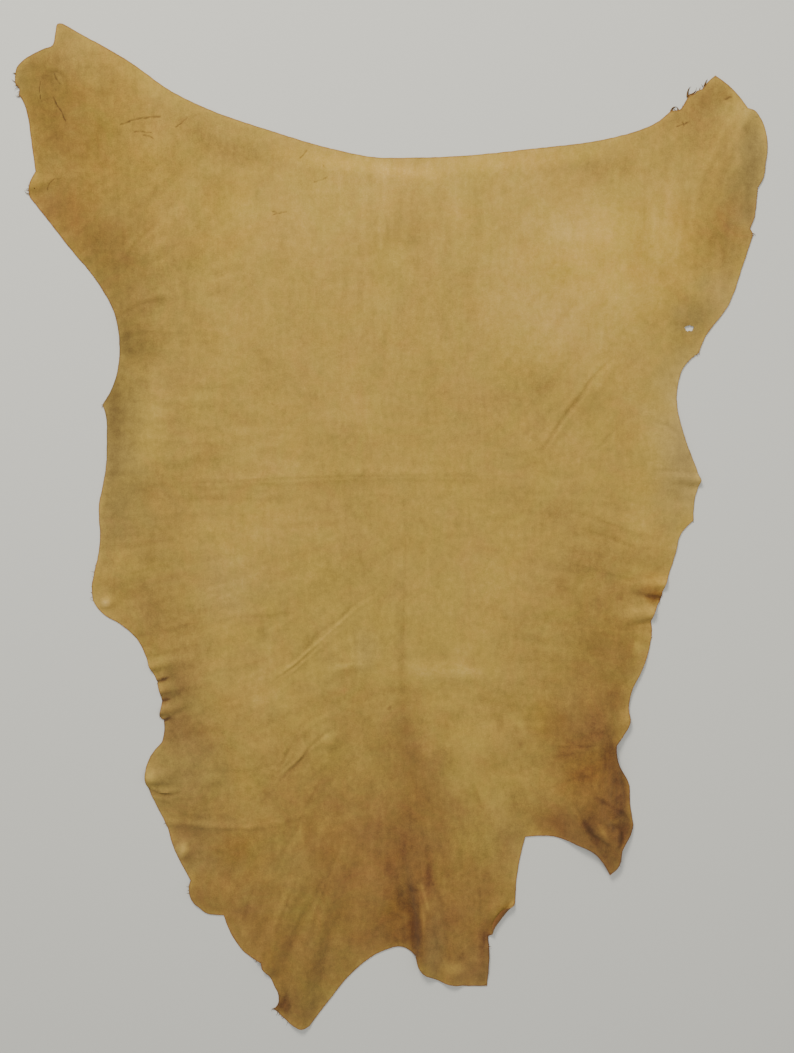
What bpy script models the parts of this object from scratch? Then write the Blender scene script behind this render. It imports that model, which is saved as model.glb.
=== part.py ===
"""One whole tanned deerskin, laid out grain side up on a flat surface.

The skin is a single sheet, cut nowhere but round its edge. Its outline runs through named stretches
of that edge, neck at +Y and hind legs at -Y. Its relief is the sum of broad swells and narrow folds,
and between them the sheet lies flat on the surface, at z = 0.
"""

from collections import namedtuple
from math import cos, pi, sin

import bmesh
import bpy
from mathutils import Vector
from mathutils.geometry import interpolate_bezier

MM = 0.001

# Driving dimensions, in millimetres.
SHEET_THICKNESS = 1.4
EDGE_STEP = 9.0
FIRST_CELL = 1536.0
PLAIN_CELL = 48.0
SWELL_CELL = 24.0
FOLD_CELL = 12.0
CELL_SNAP = 2.5
SHORTEST_EDGE = 2.0
CREST_STEP = 12.0
SETTLE = 1.0
LIFT_OFF = 0.25
HOLE_CENTRE = (428.0, 324.0)
HOLE_RADIUS = 5.2
HOLE_STRETCH = 0.22
HOLE_RAGGEDNESS = 0.12
HOLE_POINTS = 11
PLUG_LENGTH = 60.0

HIDE_COLOUR = (0.434, 0.292, 0.102, 1.0)
HIDE_ROUGHNESS = 0.9

# Each run of the edge is a smooth curve through its points, in millimetres from the middle of the
# skin, and turns sharply into the next one. The runs go clockwise, from the tip of the left foreleg.
EdgeRun = namedtuple("EdgeRun", "name points")
EDGE_RUNS = (
    EdgeRun("neck edge", (
        (-464, 748), (-427, 731), (-365, 694), (-309, 654), (-265, 634), (-175, 603), (-80, 575),
        (-29, 565), (31, 564), (106, 568), (195, 577), (304, 592), (362, 609), (394, 632))),
    EdgeRun("right foreleg nick", ((394, 632), (408, 635), (417, 659))),
    EdgeRun("right foreleg top", ((417, 659), (431, 659), (442, 668), (455, 677))),
    EdgeRun("right foreleg end", (
        (455, 677), (488, 653), (523, 617), (532, 589), (530, 539), (517, 509), (517, 488), (514, 451))),
    EdgeRun("right armpit edge", ((514, 451), (504, 418), (483, 356), (450, 308), (443, 289))),
    EdgeRun("right armpit", ((443, 289), (422, 269), (413, 234), (428, 161), (451, 104))),
    EdgeRun("right belly", ((451, 104), (441, 63), (442, 42))),
    EdgeRun("right flank", ((442, 42), (429, 26), (418, -21), (383, -106))),
    EdgeRun("right thigh", (
        (383, -106), (385, -140), (373, -181), (354, -227), (354, -268), (336, -293))),
    EdgeRun("right hind leg", (
        (336, -293), (339, -321), (356, -355), (360, -391), (365, -429), (349, -457), (343, -486),
        (329, -498))),
    EdgeRun("right hind inner side", (
        (329, -498), (308, -465), (277, -452), (240, -441), (201, -444))),
    EdgeRun("rump side", ((201, -444), (189, -503), (187, -543))),
    EdgeRun("rump rolled edge", ((187, -543), (156, -570), (146, -596))),
    EdgeRun("rump corner", ((146, -596), (149, -639), (145, -678))),
    EdgeRun("rump end", ((145, -678), (101, -677), (68, -667), (42, -648), (35, -625))),
    EdgeRun("tail arch", (
        (35, -625), (11, -614), (-19, -623), (-64, -658), (-98, -701), (-129, -746))),
    EdgeRun("left hind leg end", ((-129, -746), (-152, -745), (-168, -734), (-185, -717))),
    EdgeRun("left hind leg side", (
        (-185, -717), (-179, -701), (-189, -662), (-202, -644), (-199, -633))),
    EdgeRun("left hind leg nick", ((-199, -633), (-219, -638), (-255, -583), (-260, -566))),
    EdgeRun("left thigh lobe", ((-260, -566), (-288, -563), (-312, -535), (-308, -508))),
    EdgeRun("left thigh", (
        (-308, -508), (-332, -464), (-344, -421), (-363, -383), (-372, -343), (-363, -313),
        (-347, -288), (-343, -254))),
    EdgeRun("left flank", (
        (-343, -254), (-348, -227), (-361, -181), (-378, -134), (-407, -108), (-439, -88),
        (-447, -69), (-445, -40), (-437, -18))),
    EdgeRun("left belly", (
        (-437, -18), (-433, 24), (-434, 63), (-420, 125), (-419, 173), (-423, 211))),
    EdgeRun("left armpit", (
        (-423, 211), (-404, 244), (-394, 293), (-399, 343), (-419, 383), (-464, 441), (-518, 509))),
    EdgeRun("left foreleg nick", ((-518, 509), (-516, 529), (-509, 547))),
    EdgeRun("left foreleg side", ((-509, 547), (-515, 613), (-529, 650), (-532, 683))),
    EdgeRun("left foreleg end", (
        (-532, 683), (-511, 702), (-489, 715), (-478, 725), (-464, 748))),
)

# A swell is a low rise over an ellipse: its middle, its half widths and its height, in millimetres.
Swell = namedtuple("Swell", "name x y half_x half_y height")
SWELLS = (
    Swell("left foreleg", -455, 630, 60, 90, 6),
    Swell("right foreleg", 482, 575, 60, 90, 7),
    Swell("neck", -18, 477, 120, 60, 3),
    Swell("left shoulder", -291, 379, 150, 120, 3.5),
    Swell("right shoulder", 284, 407, 150, 110, 3.5),
    Swell("left armpit", -378, 322, 60, 60, 4),
    Swell("right armpit", 428, 364, 60, 50, 5),
    Swell("left belly", -391, 119, 55, 90, 5),
    Swell("left belly end", -405, -37, 60, 55, 6),
    Swell("left belly bump", -421, -78, 16, 16, 6),
    Swell("right belly", 391, 148, 60, 90, 5),
    Swell("right belly end", 379, 15, 60, 50, 5),
    Swell("left flank", -254, -15, 110, 70, 3.5),
    Swell("right flank", 284, -15, 110, 80, 4),
    Swell("right thigh", 347, -181, 60, 60, 6),
    Swell("right thigh bump", 351, -260, 18, 22, 5),
    Swell("rump", 116, -296, 110, 90, 4),
    Swell("right rump", 222, -366, 80, 60, 5),
    Swell("rump corner", 134, -636, 30, 50, 5),
    Swell("left rump", -229, -288, 100, 60, 4),
    Swell("left thigh", -313, -382, 60, 40, 4),
    Swell("left thigh bump", -316, -460, 14, 18, 7),
    Swell("left thigh lobe", -286, -524, 50, 45, 6),
    Swell("left hind leg", -217, -540, 50, 70, 4),
    Swell("tail side", -31, -548, 45, 80, 5),
)

# A fold runs smoothly through the points of its crest, each with its height: above 0 for a ridge,
# under 0 for a crease pressed into a ridge. left and right are its half widths, seen along the crest.
Fold = namedtuple("Fold", "name left right crest")
FOLDS = (
    Fold("storage fold, middle", 16, 16, (
        (-333, 98, 0), (-251, 103, 3), (-97, 110, 4), (35, 113, 4), (119, 111, 3.5), (223, 105, 0))),
    Fold("storage fold, rump", 16, 16, (
        (-153, -184, 0), (-99, -172, 3), (-4, -172, 4), (98, -187, 3.5), (160, -196, 0))),
    Fold("left diagonal", 12, 12, (
        (5, -42, 0), (-60, -97, 4), (-114, -147, 5), (-153, -178, 4), (-195, -205, 0))),
    Fold("left rump diagonal", 14, 14, (
        (-71, -268, 0), (-115, -294, 4), (-163, -327, 4), (-223, -366, 0))),
    Fold("right diagonal", 14, 14, ((208, 133, 0), (244, 177, 4), (287, 228, 4), (332, 286, 0))),
    Fold("tail", 40, 20, (
        (14, -366, 0), (23, -429, 5), (39, -508, 11), (48, -580, 15), (44, -633, 15), (41, -652, 13))),
    Fold("right hind leg", 70, 60, (
        (330, -250, 4), (309, -301, 16), (295, -358, 24), (299, -413, 22), (321, -454, 14),
        (332, -500, 8))),
    Fold("right hind leg inner crease", 9, 9, (
        (279, -388, 0), (302, -429, -8), (324, -454, -7), (333, -470, 0))),
    Fold("right hind leg outer crease", 9, 9, (
        (310, -374, 0), (326, -405, -7), (343, -430, -6), (351, -448, 0))),
    Fold("left pleat, upper", 13, 11, ((-372, -181, 9), (-337, -176, 7), (-302, -170, 0))),
    Fold("left pleat, middle", 12, 10, ((-355, -214, 8), (-326, -208, 5), (-302, -202, 0))),
    Fold("left pleat, lower", 12, 10, ((-351, -244, 8), (-324, -236, 5), (-303, -230, 0))),
    Fold("left thigh roll", 18, 16, ((-377, -346, 11), (-355, -347, 9), (-317, -343, 0))),
    Fold("left thigh ridge", 10, 10, (
        (-344, -422, 5), (-275, -430, 4.5), (-211, -432, 3.5), (-140, -416, 0))),
    Fold("left hind leg, outer", 30, 28, ((-113, -441, 0), (-153, -540, 8), (-194, -639, 10))),
    Fold("left hind leg, inner", 26, 30, (
        (-72, -452, 0), (-95, -524, 7), (-127, -636, 9), (-146, -747, 8))),
    Fold("rump end", 26, 26, ((91, -580, 0), (96, -636, 7), (88, -678, 8))),
    Fold("rump rolled edge", 9, 9, (
        (147, -581, 0), (159, -562, 7), (184, -535, 7), (189, -505, 0))),
    Fold("right pleat, lower", 14, 16, ((389, -94, 9), (361, -100, 6), (326, -106, 0))),
    Fold("right pleat, upper", 13, 13, ((410, -49, 7), (381, -52, 4), (348, -57, 0))),
    Fold("right belly ridge", 12, 12, ((452, 104, 7), (421, 107, 4), (384, 111, 0))),
    Fold("left foreleg ridge", 15, 15, ((-520, 522, 7), (-490, 533, 4), (-455, 543, 0))),
)


def smooth_run(points, step):
    """Points about step apart on a smooth curve that passes through all the given ones."""
    knots = [Vector(point).to_3d() for point in points]
    spans = [(after - before).length for before, after in zip(knots, knots[1:])]
    slopes = [(after - before) / span for before, after, span in zip(knots, knots[1:], spans)]
    turns = [
        (slopes[i] * spans[i + 1] + slopes[i + 1] * spans[i]) / (spans[i] + spans[i + 1])
        for i in range(len(spans) - 1)
    ]
    first = (3 * slopes[0] - turns[0]) / 2 if turns else slopes[0]
    last = (3 * slopes[-1] - turns[-1]) / 2 if turns else slopes[-1]
    tangents = [first, *turns, last]
    path = []
    for i, span in enumerate(spans):
        steps = max(1, round(span / step))
        start, end = knots[i], knots[i + 1]
        reach = span / 3
        handles = (start + tangents[i] * reach, end - tangents[i + 1] * reach)
        path += interpolate_bezier(start, *handles, end, steps + 1)[:-1]
    return [*path, knots[-1]]


def swell_height(swell, x, y):
    """Height that one swell adds at a point, in millimetres."""
    away = ((x - swell.x) / swell.half_x) ** 2 + ((y - swell.y) / swell.half_y) ** 2
    return swell.height * (1 - away) ** 2 if away < 1 else 0.0


def nearest_on_crest(crest, point):
    """Distance from a crest, the crest's height there, and whether the point is on its left."""
    nearest = None
    for start, end in zip(crest, crest[1:]):
        along = end.xy - start.xy
        to_point = point - start.xy
        share = min(1.0, max(0.0, to_point.dot(along) / along.length_squared))
        distance = (to_point - along * share).length
        if nearest is None or distance < nearest[0]:
            on_left = along.cross(to_point) > 0
            nearest = (distance, start.z + (end.z - start.z) * share, on_left)
    return nearest


def fold_height(fold, crest, x, y):
    """Height that one fold adds at a point, in millimetres."""
    distance, height, on_left = nearest_on_crest(crest, Vector((x, y)))
    away = distance / (fold.left if on_left else fold.right)
    return height * (1 - away ** 2) ** 2 if away < 1 else 0.0


def settled(height):
    """The height that is left once the sheet has sunk on to the surface, never under it."""
    if height <= LIFT_OFF:
        return 0.0
    if height < SETTLE:
        return height ** 2 / (2 * SETTLE)
    return height - SETTLE / 2


def relief(crests, x, y):
    """Height of the sheet's underside over the surface, in millimetres."""
    swells = sum(swell_height(swell, x, y) for swell in SWELLS)
    folds = sum(fold_height(fold, crest, x, y) for fold, crest in zip(FOLDS, crests))
    return settled(swells + folds)


def edge_path():
    """The whole cut edge, as points in millimetres."""
    path = []
    for run in EDGE_RUNS:
        path += smooth_run(run.points, EDGE_STEP)[:-1]
    return path


def cell_wanted(crests, centre, half):
    """Largest cell that still shows the relief in a square of the sheet."""
    reach = half * 2 ** 0.5
    for fold, crest in zip(FOLDS, crests):
        if nearest_on_crest(crest, centre)[0] < reach + max(fold.left, fold.right):
            return FOLD_CELL if min(fold.left, fold.right) < SWELL_CELL else SWELL_CELL
    for swell in SWELLS:
        if abs(centre.x - swell.x) < half + swell.half_x and abs(centre.y - swell.y) < half + swell.half_y:
            return SWELL_CELL if min(swell.half_x, swell.half_y) > SWELL_CELL else FOLD_CELL
    return PLAIN_CELL


def quarter(sheet, faces, centre, size, crests):
    """Cuts the faces of one square of the sheet into cells, smaller where it swells or folds."""
    half = size / 2
    if not faces or size <= cell_wanted(crests, centre, half):
        return
    for plane_normal in (Vector((1, 0, 0)), Vector((0, 1, 0))):
        edges = {edge for face in faces for edge in face.edges}
        verts = {vert for face in faces for vert in face.verts}
        cut = bmesh.ops.bisect_plane(
            sheet, geom=[*verts, *edges, *faces], dist=CELL_SNAP,
            plane_co=centre.to_3d(), plane_no=plane_normal)
        faces = [item for item in cut["geom"] if isinstance(item, bmesh.types.BMFace)]
    for side_x in (-1, 1):
        for side_y in (-1, 1):
            inside = [
                face for face in faces
                if (face.calc_center_median().x > centre.x) == (side_x > 0)
                and (face.calc_center_median().y > centre.y) == (side_y > 0)
            ]
            middle = centre + Vector((side_x, side_y)) * half / 2
            quarter(sheet, inside, middle, half, crests)


def box_middle(path):
    """The middle of the box round the cut edge."""
    across = [point.x for point in path]
    along = [point.y for point in path]
    return Vector(((min(across) + max(across)) / 2, (min(along) + max(along)) / 2, 0))


def thickened(sheet):
    """Gives the flat sheet its thickness, upwards."""
    lifted = bmesh.ops.extrude_face_region(sheet, geom=sheet.faces[:], use_keep_orig=True)["geom"]
    upper = [item for item in lifted if isinstance(item, bmesh.types.BMVert)]
    bmesh.ops.translate(sheet, vec=(0, 0, SHEET_THICKNESS), verts=upper)
    bmesh.ops.recalc_face_normals(sheet, faces=sheet.faces[:])


def hide_mesh(path, middle):
    """The whole sheet with its relief, closed, in metres round its own middle."""
    crests = [smooth_run(fold.crest, CREST_STEP) for fold in FOLDS]
    sheet = bmesh.new()
    outline = [sheet.verts.new(point) for point in path]
    skin = sheet.faces.new(outline)
    quarter(sheet, [skin], Vector((0, 0)), FIRST_CELL, crests)
    bmesh.ops.remove_doubles(sheet, verts=sheet.verts[:], dist=SHORTEST_EDGE)
    bmesh.ops.triangulate(sheet, faces=sheet.faces[:], quad_method="BEAUTY", ngon_method="BEAUTY")
    thickened(sheet)
    for vert in sheet.verts:
        vert.co.z += relief(crests, vert.co.x, vert.co.y)
    bmesh.ops.translate(sheet, vec=-middle, verts=sheet.verts[:])
    bmesh.ops.scale(sheet, vec=(MM, MM, MM), verts=sheet.verts[:])
    mesh = bpy.data.meshes.new("hide")
    sheet.to_mesh(mesh)
    sheet.free()
    return mesh


def hole_cutter(collection, middle):
    """A ragged upright plug of the size of the hole in the right armpit."""
    plug = bmesh.new()
    ring = bmesh.ops.create_circle(plug, cap_ends=True, segments=HOLE_POINTS, radius=HOLE_RADIUS)["verts"]
    for number, vert in enumerate(ring):
        turn = 2 * pi * number / HOLE_POINTS
        vert.co *= 1 + HOLE_STRETCH * cos(2 * turn) + HOLE_RAGGEDNESS * sin(5 * turn)
    lifted = bmesh.ops.extrude_face_region(plug, geom=plug.faces[:])["geom"]
    top = [item for item in lifted if isinstance(item, bmesh.types.BMVert)]
    bmesh.ops.translate(plug, vec=(0, 0, PLUG_LENGTH), verts=top)
    bmesh.ops.translate(plug, vec=(*HOLE_CENTRE, -PLUG_LENGTH / 2), verts=plug.verts[:])
    bmesh.ops.translate(plug, vec=-middle, verts=plug.verts[:])
    bmesh.ops.scale(plug, vec=(MM, MM, MM), verts=plug.verts[:])
    bmesh.ops.recalc_face_normals(plug, faces=plug.faces[:])
    mesh = bpy.data.meshes.new("hole_cutter")
    plug.to_mesh(mesh)
    plug.free()
    cutter = bpy.data.objects.new("hole_cutter", mesh)
    cutter.hide_render = True
    cutter.display_type = "WIRE"
    collection.objects.link(cutter)
    return cutter


def hide_material():
    """Tanned deerskin with a matt, brushed face."""
    material = bpy.data.materials.new("brushed_deerskin")
    material.use_nodes = True
    shader = material.node_tree.nodes["Principled BSDF"]
    shader.inputs["Base Color"].default_value = HIDE_COLOUR
    shader.inputs["Roughness"].default_value = HIDE_ROUGHNESS
    shader.inputs["Metallic"].default_value = 0.0
    material.diffuse_color = HIDE_COLOUR
    return material


def build_hide(parts, cutters):
    """The whole skin: the shaped sheet and the hole through it."""
    path = edge_path()
    middle = box_middle(path)
    mesh = hide_mesh(path, middle)
    mesh.materials.append(hide_material())
    hide = bpy.data.objects.new("hide", mesh)
    parts.objects.link(hide)
    hole = hide.modifiers.new("hole", "BOOLEAN")
    hole.operation = "DIFFERENCE"
    hole.solver = "EXACT"
    hole.object = hole_cutter(cutters, middle)


def new_collection(name):
    """An empty collection in the scene."""
    collection = bpy.data.collections.new(name)
    bpy.context.scene.collection.children.link(collection)
    return collection


def main():
    """Clears the scene and builds the hide."""
    for item in list(bpy.data.objects):
        bpy.data.objects.remove(item, do_unlink=True)
    build_hide(new_collection("leather_hide"), new_collection("cutters"))


if __name__ == "__main__":
    main()
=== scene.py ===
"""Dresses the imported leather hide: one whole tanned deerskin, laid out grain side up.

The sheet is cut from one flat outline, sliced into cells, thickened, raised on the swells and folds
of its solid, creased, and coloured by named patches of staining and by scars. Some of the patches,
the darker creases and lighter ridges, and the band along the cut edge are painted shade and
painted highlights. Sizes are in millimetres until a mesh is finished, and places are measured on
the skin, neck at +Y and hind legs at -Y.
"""

import logging
import math
import random
from dataclasses import dataclass, field, replace
from enum import IntEnum

import bmesh
import bpy
import numpy as np
from mathutils import Matrix, Vector, noise
from mathutils.geometry import interpolate_bezier


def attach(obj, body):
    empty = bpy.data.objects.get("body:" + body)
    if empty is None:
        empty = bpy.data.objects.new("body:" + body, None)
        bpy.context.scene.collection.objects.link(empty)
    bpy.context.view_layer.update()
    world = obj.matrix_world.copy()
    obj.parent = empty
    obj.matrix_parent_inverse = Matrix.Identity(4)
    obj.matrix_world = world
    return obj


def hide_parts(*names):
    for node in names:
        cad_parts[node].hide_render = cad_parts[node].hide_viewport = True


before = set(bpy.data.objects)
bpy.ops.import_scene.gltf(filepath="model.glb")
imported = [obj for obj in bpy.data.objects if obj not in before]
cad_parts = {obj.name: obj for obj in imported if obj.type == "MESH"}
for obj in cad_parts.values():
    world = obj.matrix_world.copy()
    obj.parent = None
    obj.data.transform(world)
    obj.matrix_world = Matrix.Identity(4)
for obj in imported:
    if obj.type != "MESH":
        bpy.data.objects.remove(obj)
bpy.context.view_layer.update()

LOG = logging.getLogger("leather_hide")
MM = 0.001
UP = Vector((0, 0, 1))

# How far apart the points of a fold's crest are.
CREST_STEP = 12.0
# Factor on the distance from a patch's middle, so that the patch fades out past its half sizes.
SOFT_RIM = 0.8
# How wide the bays in a patch's outline are, as a share of its smaller half size.
BAY_SHARE = 0.7

Values = np.ndarray
Points = tuple[tuple[float, float], ...]
Crest = tuple[tuple[float, float, float], ...]
Stops = tuple[tuple[float, int], ...]


# ---- Curves and smooth noise ----


def smooth_run(points: Points | Crest, step: float) -> list[Vector]:
    """A smooth curve that passes through all the given points.

    Args:
        points: the points to pass through.
        step: about how far apart the curve's own points are.

    Returns:
        The curve's points, the last given one among them.
    """
    knots = [Vector(point).to_3d() for point in points]
    spans = [(after - before).length for before, after in zip(knots, knots[1:])]
    slopes = [(after - before) / span for before, after, span in zip(knots, knots[1:], spans)]
    turns = [
        (slopes[i] * spans[i + 1] + slopes[i + 1] * spans[i]) / (spans[i] + spans[i + 1])
        for i in range(len(spans) - 1)
    ]
    first = (3 * slopes[0] - turns[0]) / 2 if turns else slopes[0]
    last = (3 * slopes[-1] - turns[-1]) / 2 if turns else slopes[-1]
    tangents = [first, *turns, last]
    path = []
    for i, span in enumerate(spans):
        steps = max(1, round(span / step))
        start, end = knots[i], knots[i + 1]
        reach = span / 3
        handles = (start + tangents[i] * reach, end - tangents[i + 1] * reach)
        path += interpolate_bezier(start, *handles, end, steps + 1)[:-1]
    return [*path, knots[-1]]


def measure_stretch(
    start: Vector, end: Vector, x: Values, y: Values
) -> tuple[Values, Values, Values]:
    """Measures many places against one straight stretch of a curve, seen from above.

    Args:
        start: the stretch's first point.
        end: its last point.
        x: places across.
        y: places along.

    Returns:
        Where on the stretch each place is nearest, from 0 to 1, how far away that is, and whether
        the place lies to the left.
    """
    ahead = end - start
    to_x, to_y = x - start.x, y - start.y
    square = max(ahead.x ** 2 + ahead.y ** 2, 1e-9)
    share = np.clip((to_x * ahead.x + to_y * ahead.y) / square, 0, 1)
    distance = np.hypot(to_x - ahead.x * share, to_y - ahead.y * share)
    return share, distance, ahead.x * to_y - ahead.y * to_x > 0


def ease(share: Values) -> Values:
    """Eases shares from 0 to 1 in and out."""
    return share ** 3 * (share * (share * 6 - 15) + 10)


def cloud(x: Values, y: Values, size: float, seed: float) -> Values:
    """Smooth random values at many places at once.

    Args:
        x: places across, in millimetres.
        y: places along, in millimetres.
        size: about how wide one patch is.
        seed: another number gives another pattern.

    Returns:
        Values from -1 to 1.
    """
    column, row = np.floor(x / size), np.floor(y / size)
    across, along = ease(x / size - column), ease(y / size - row)

    def corner(right: int, up: int) -> Values:
        """The random value at one corner of each place's square."""
        mixed = np.sin((column + right) * 127.1 + (row + up) * 311.7 + seed * 74.7) * 43758.5453
        return (mixed - np.floor(mixed)) * 2 - 1

    lower = corner(0, 0) * (1 - across) + corner(1, 0) * across
    upper = corner(0, 1) * (1 - across) + corner(1, 1) * across
    return lower * (1 - along) + upper * along


def layered_cloud(x: Values, y: Values, size: float, layers: int, seed: float) -> Values:
    """Clouds with smaller and fainter ones on them, each layer turned so that no grid shows.

    Args:
        x: places across, in millimetres.
        y: places along, in millimetres.
        size: about how wide the largest patches are.
        layers: how many sizes are mixed.
        seed: another number gives another pattern.

    Returns:
        Values from about -1 to 1.
    """
    total = np.zeros_like(x)
    for layer in range(layers):
        turn = 0.6 + 1.1 * layer
        turned_x = x * math.cos(turn) - y * math.sin(turn)
        turned_y = x * math.sin(turn) + y * math.cos(turn)
        total += cloud(turned_x, turned_y, size / 1.9 ** layer, seed + layer) * 0.6 ** layer
    return total


# ---- The rows of the tables ----


@dataclass(frozen=True)
class EdgeRun:
    """A smooth stretch of the cut edge, which starts where the run before it ends."""

    name: str
    points: Points


@dataclass(frozen=True)
class Swell:
    """A low rise over an ellipse, where the skin stands off the surface."""

    name: str
    x: float
    y: float
    half_x: float
    half_y: float
    height: float

    def heights(self, x: Values, y: Values) -> Values:
        """Height that the swell adds at many places."""
        away = ((x - self.x) / self.half_x) ** 2 + ((y - self.y) / self.half_y) ** 2
        return self.height * np.clip(1 - away, 0, 1) ** 2


@dataclass(frozen=True)
class Fold:
    """A ridge, or a crease where its height is under 0, that runs through the points of its crest.

    left and right are its half widths, seen along the crest. Each crest point is x, y and height.
    """

    name: str
    left: float
    right: float
    crest: Crest

    def level(self) -> "Fold":
        """The same fold, one millimetre high all along."""
        return replace(self, crest=tuple((x, y, 1.0) for x, y, _ in self.crest))

    def heights(self, x: Values, y: Values, wider: float = 1.0) -> Values:
        """Height that the fold adds at many places.

        Args:
            x: places across.
            y: places along.
            wider: factor on the half widths.

        Returns:
            The heights, 0 off the fold.
        """
        crest = smooth_run(self.crest, CREST_STEP)
        left, right = self.left * wider, self.right * wider
        margin = max(left, right)
        near = np.flatnonzero(
            (x > min(p.x for p in crest) - margin) & (x < max(p.x for p in crest) + margin)
            & (y > min(p.y for p in crest) - margin) & (y < max(p.y for p in crest) + margin))
        near_x, near_y = x[near], y[near]
        best, rise = np.full(near.size, np.inf), np.zeros(near.size)
        for start, end in zip(crest, crest[1:]):
            share, distance, on_left = measure_stretch(start, end, near_x, near_y)
            away = distance / np.where(on_left, left, right)
            here = (start.z + (end - start).z * share) * (1 - away ** 2) ** 2
            rise = np.where(distance < best, np.where(away < 1, here, 0), rise)
            best = np.minimum(distance, best)
        height = np.zeros_like(x)
        height[near] = rise
        return height


@dataclass(frozen=True)
class StainOrPaintedLight:
    """A soft patch of other colour over an ellipse, turned by so many degrees.

    tone is from -1, dark, to 1, pale. Some patches are the skin's own staining, and others are
    painted shade and painted highlights, such as the darker rump and legs, dark creases and pale
    bumps and ridges. ochre is from -1, khaki, to 1, rust. dust is from -1, where the nap lies close
    and rich, to
    1, where it is loose and greyed.
    """

    name: str
    x: float
    y: float
    half_x: float
    half_y: float
    turn: float
    tone: float
    ochre: float
    dust: float = 0.0

    def share(self, x: Values, y: Values, wavers: dict[float, Values]) -> Values:
        """How much of the patch lies at many places.

        Args:
            x: places across.
            y: places along.
            wavers: how an outline wanders at each place, by the size of its bays.

        Returns:
            Shares from 0 to 1.
        """
        turn = math.radians(self.turn)
        to_x, to_y = x - self.x, y - self.y
        along = (to_x * math.cos(turn) + to_y * math.sin(turn)) / self.half_x
        across = (to_y * math.cos(turn) - to_x * math.sin(turn)) / self.half_y
        bay = min(wavers, key=lambda size: abs(size - BAY_SHARE * min(self.half_x, self.half_y)))
        away = np.hypot(along, across) * SOFT_RIM * wavers[bay]
        return np.clip(1 - away ** 2, 0, 1) ** 2


@dataclass(frozen=True)
class Scar:
    """A healed scratch: a narrow dark groove through its points."""

    name: str
    width: float
    points: Points

    def band(self, half_width: float) -> Fold:
        """The scratch as a level fold of this half width."""
        return Fold(self.name, half_width, half_width, tuple((x, y, 1.0) for x, y in self.points))


@dataclass(frozen=True)
class Roll:
    """A stretch of the cut edge that has curled up and over, to the left of its line."""

    name: str
    start: tuple[float, float]
    end: tuple[float, float]
    radius: float

    def band(self, left: float, right: float) -> Fold:
        """The stretch as a level fold of these half widths."""
        return Fold(self.name, left, right, ((*self.start, 1.0), (*self.end, 1.0)))


@dataclass(frozen=True)
class Shred:
    """One thick shred of leather that hangs on the cut edge, from its root through its points."""

    name: str
    radius: float
    points: Points


@dataclass(frozen=True)
class Fray:
    """Threads and shreds of leather left on a stretch of the cut edge by the trimming knife."""

    name: str
    start: tuple[float, float]
    end: tuple[float, float]
    shreds: int
    length: float
    outwards: float


# ---- Tables, in millimetres from the middle of the skin ----

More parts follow.
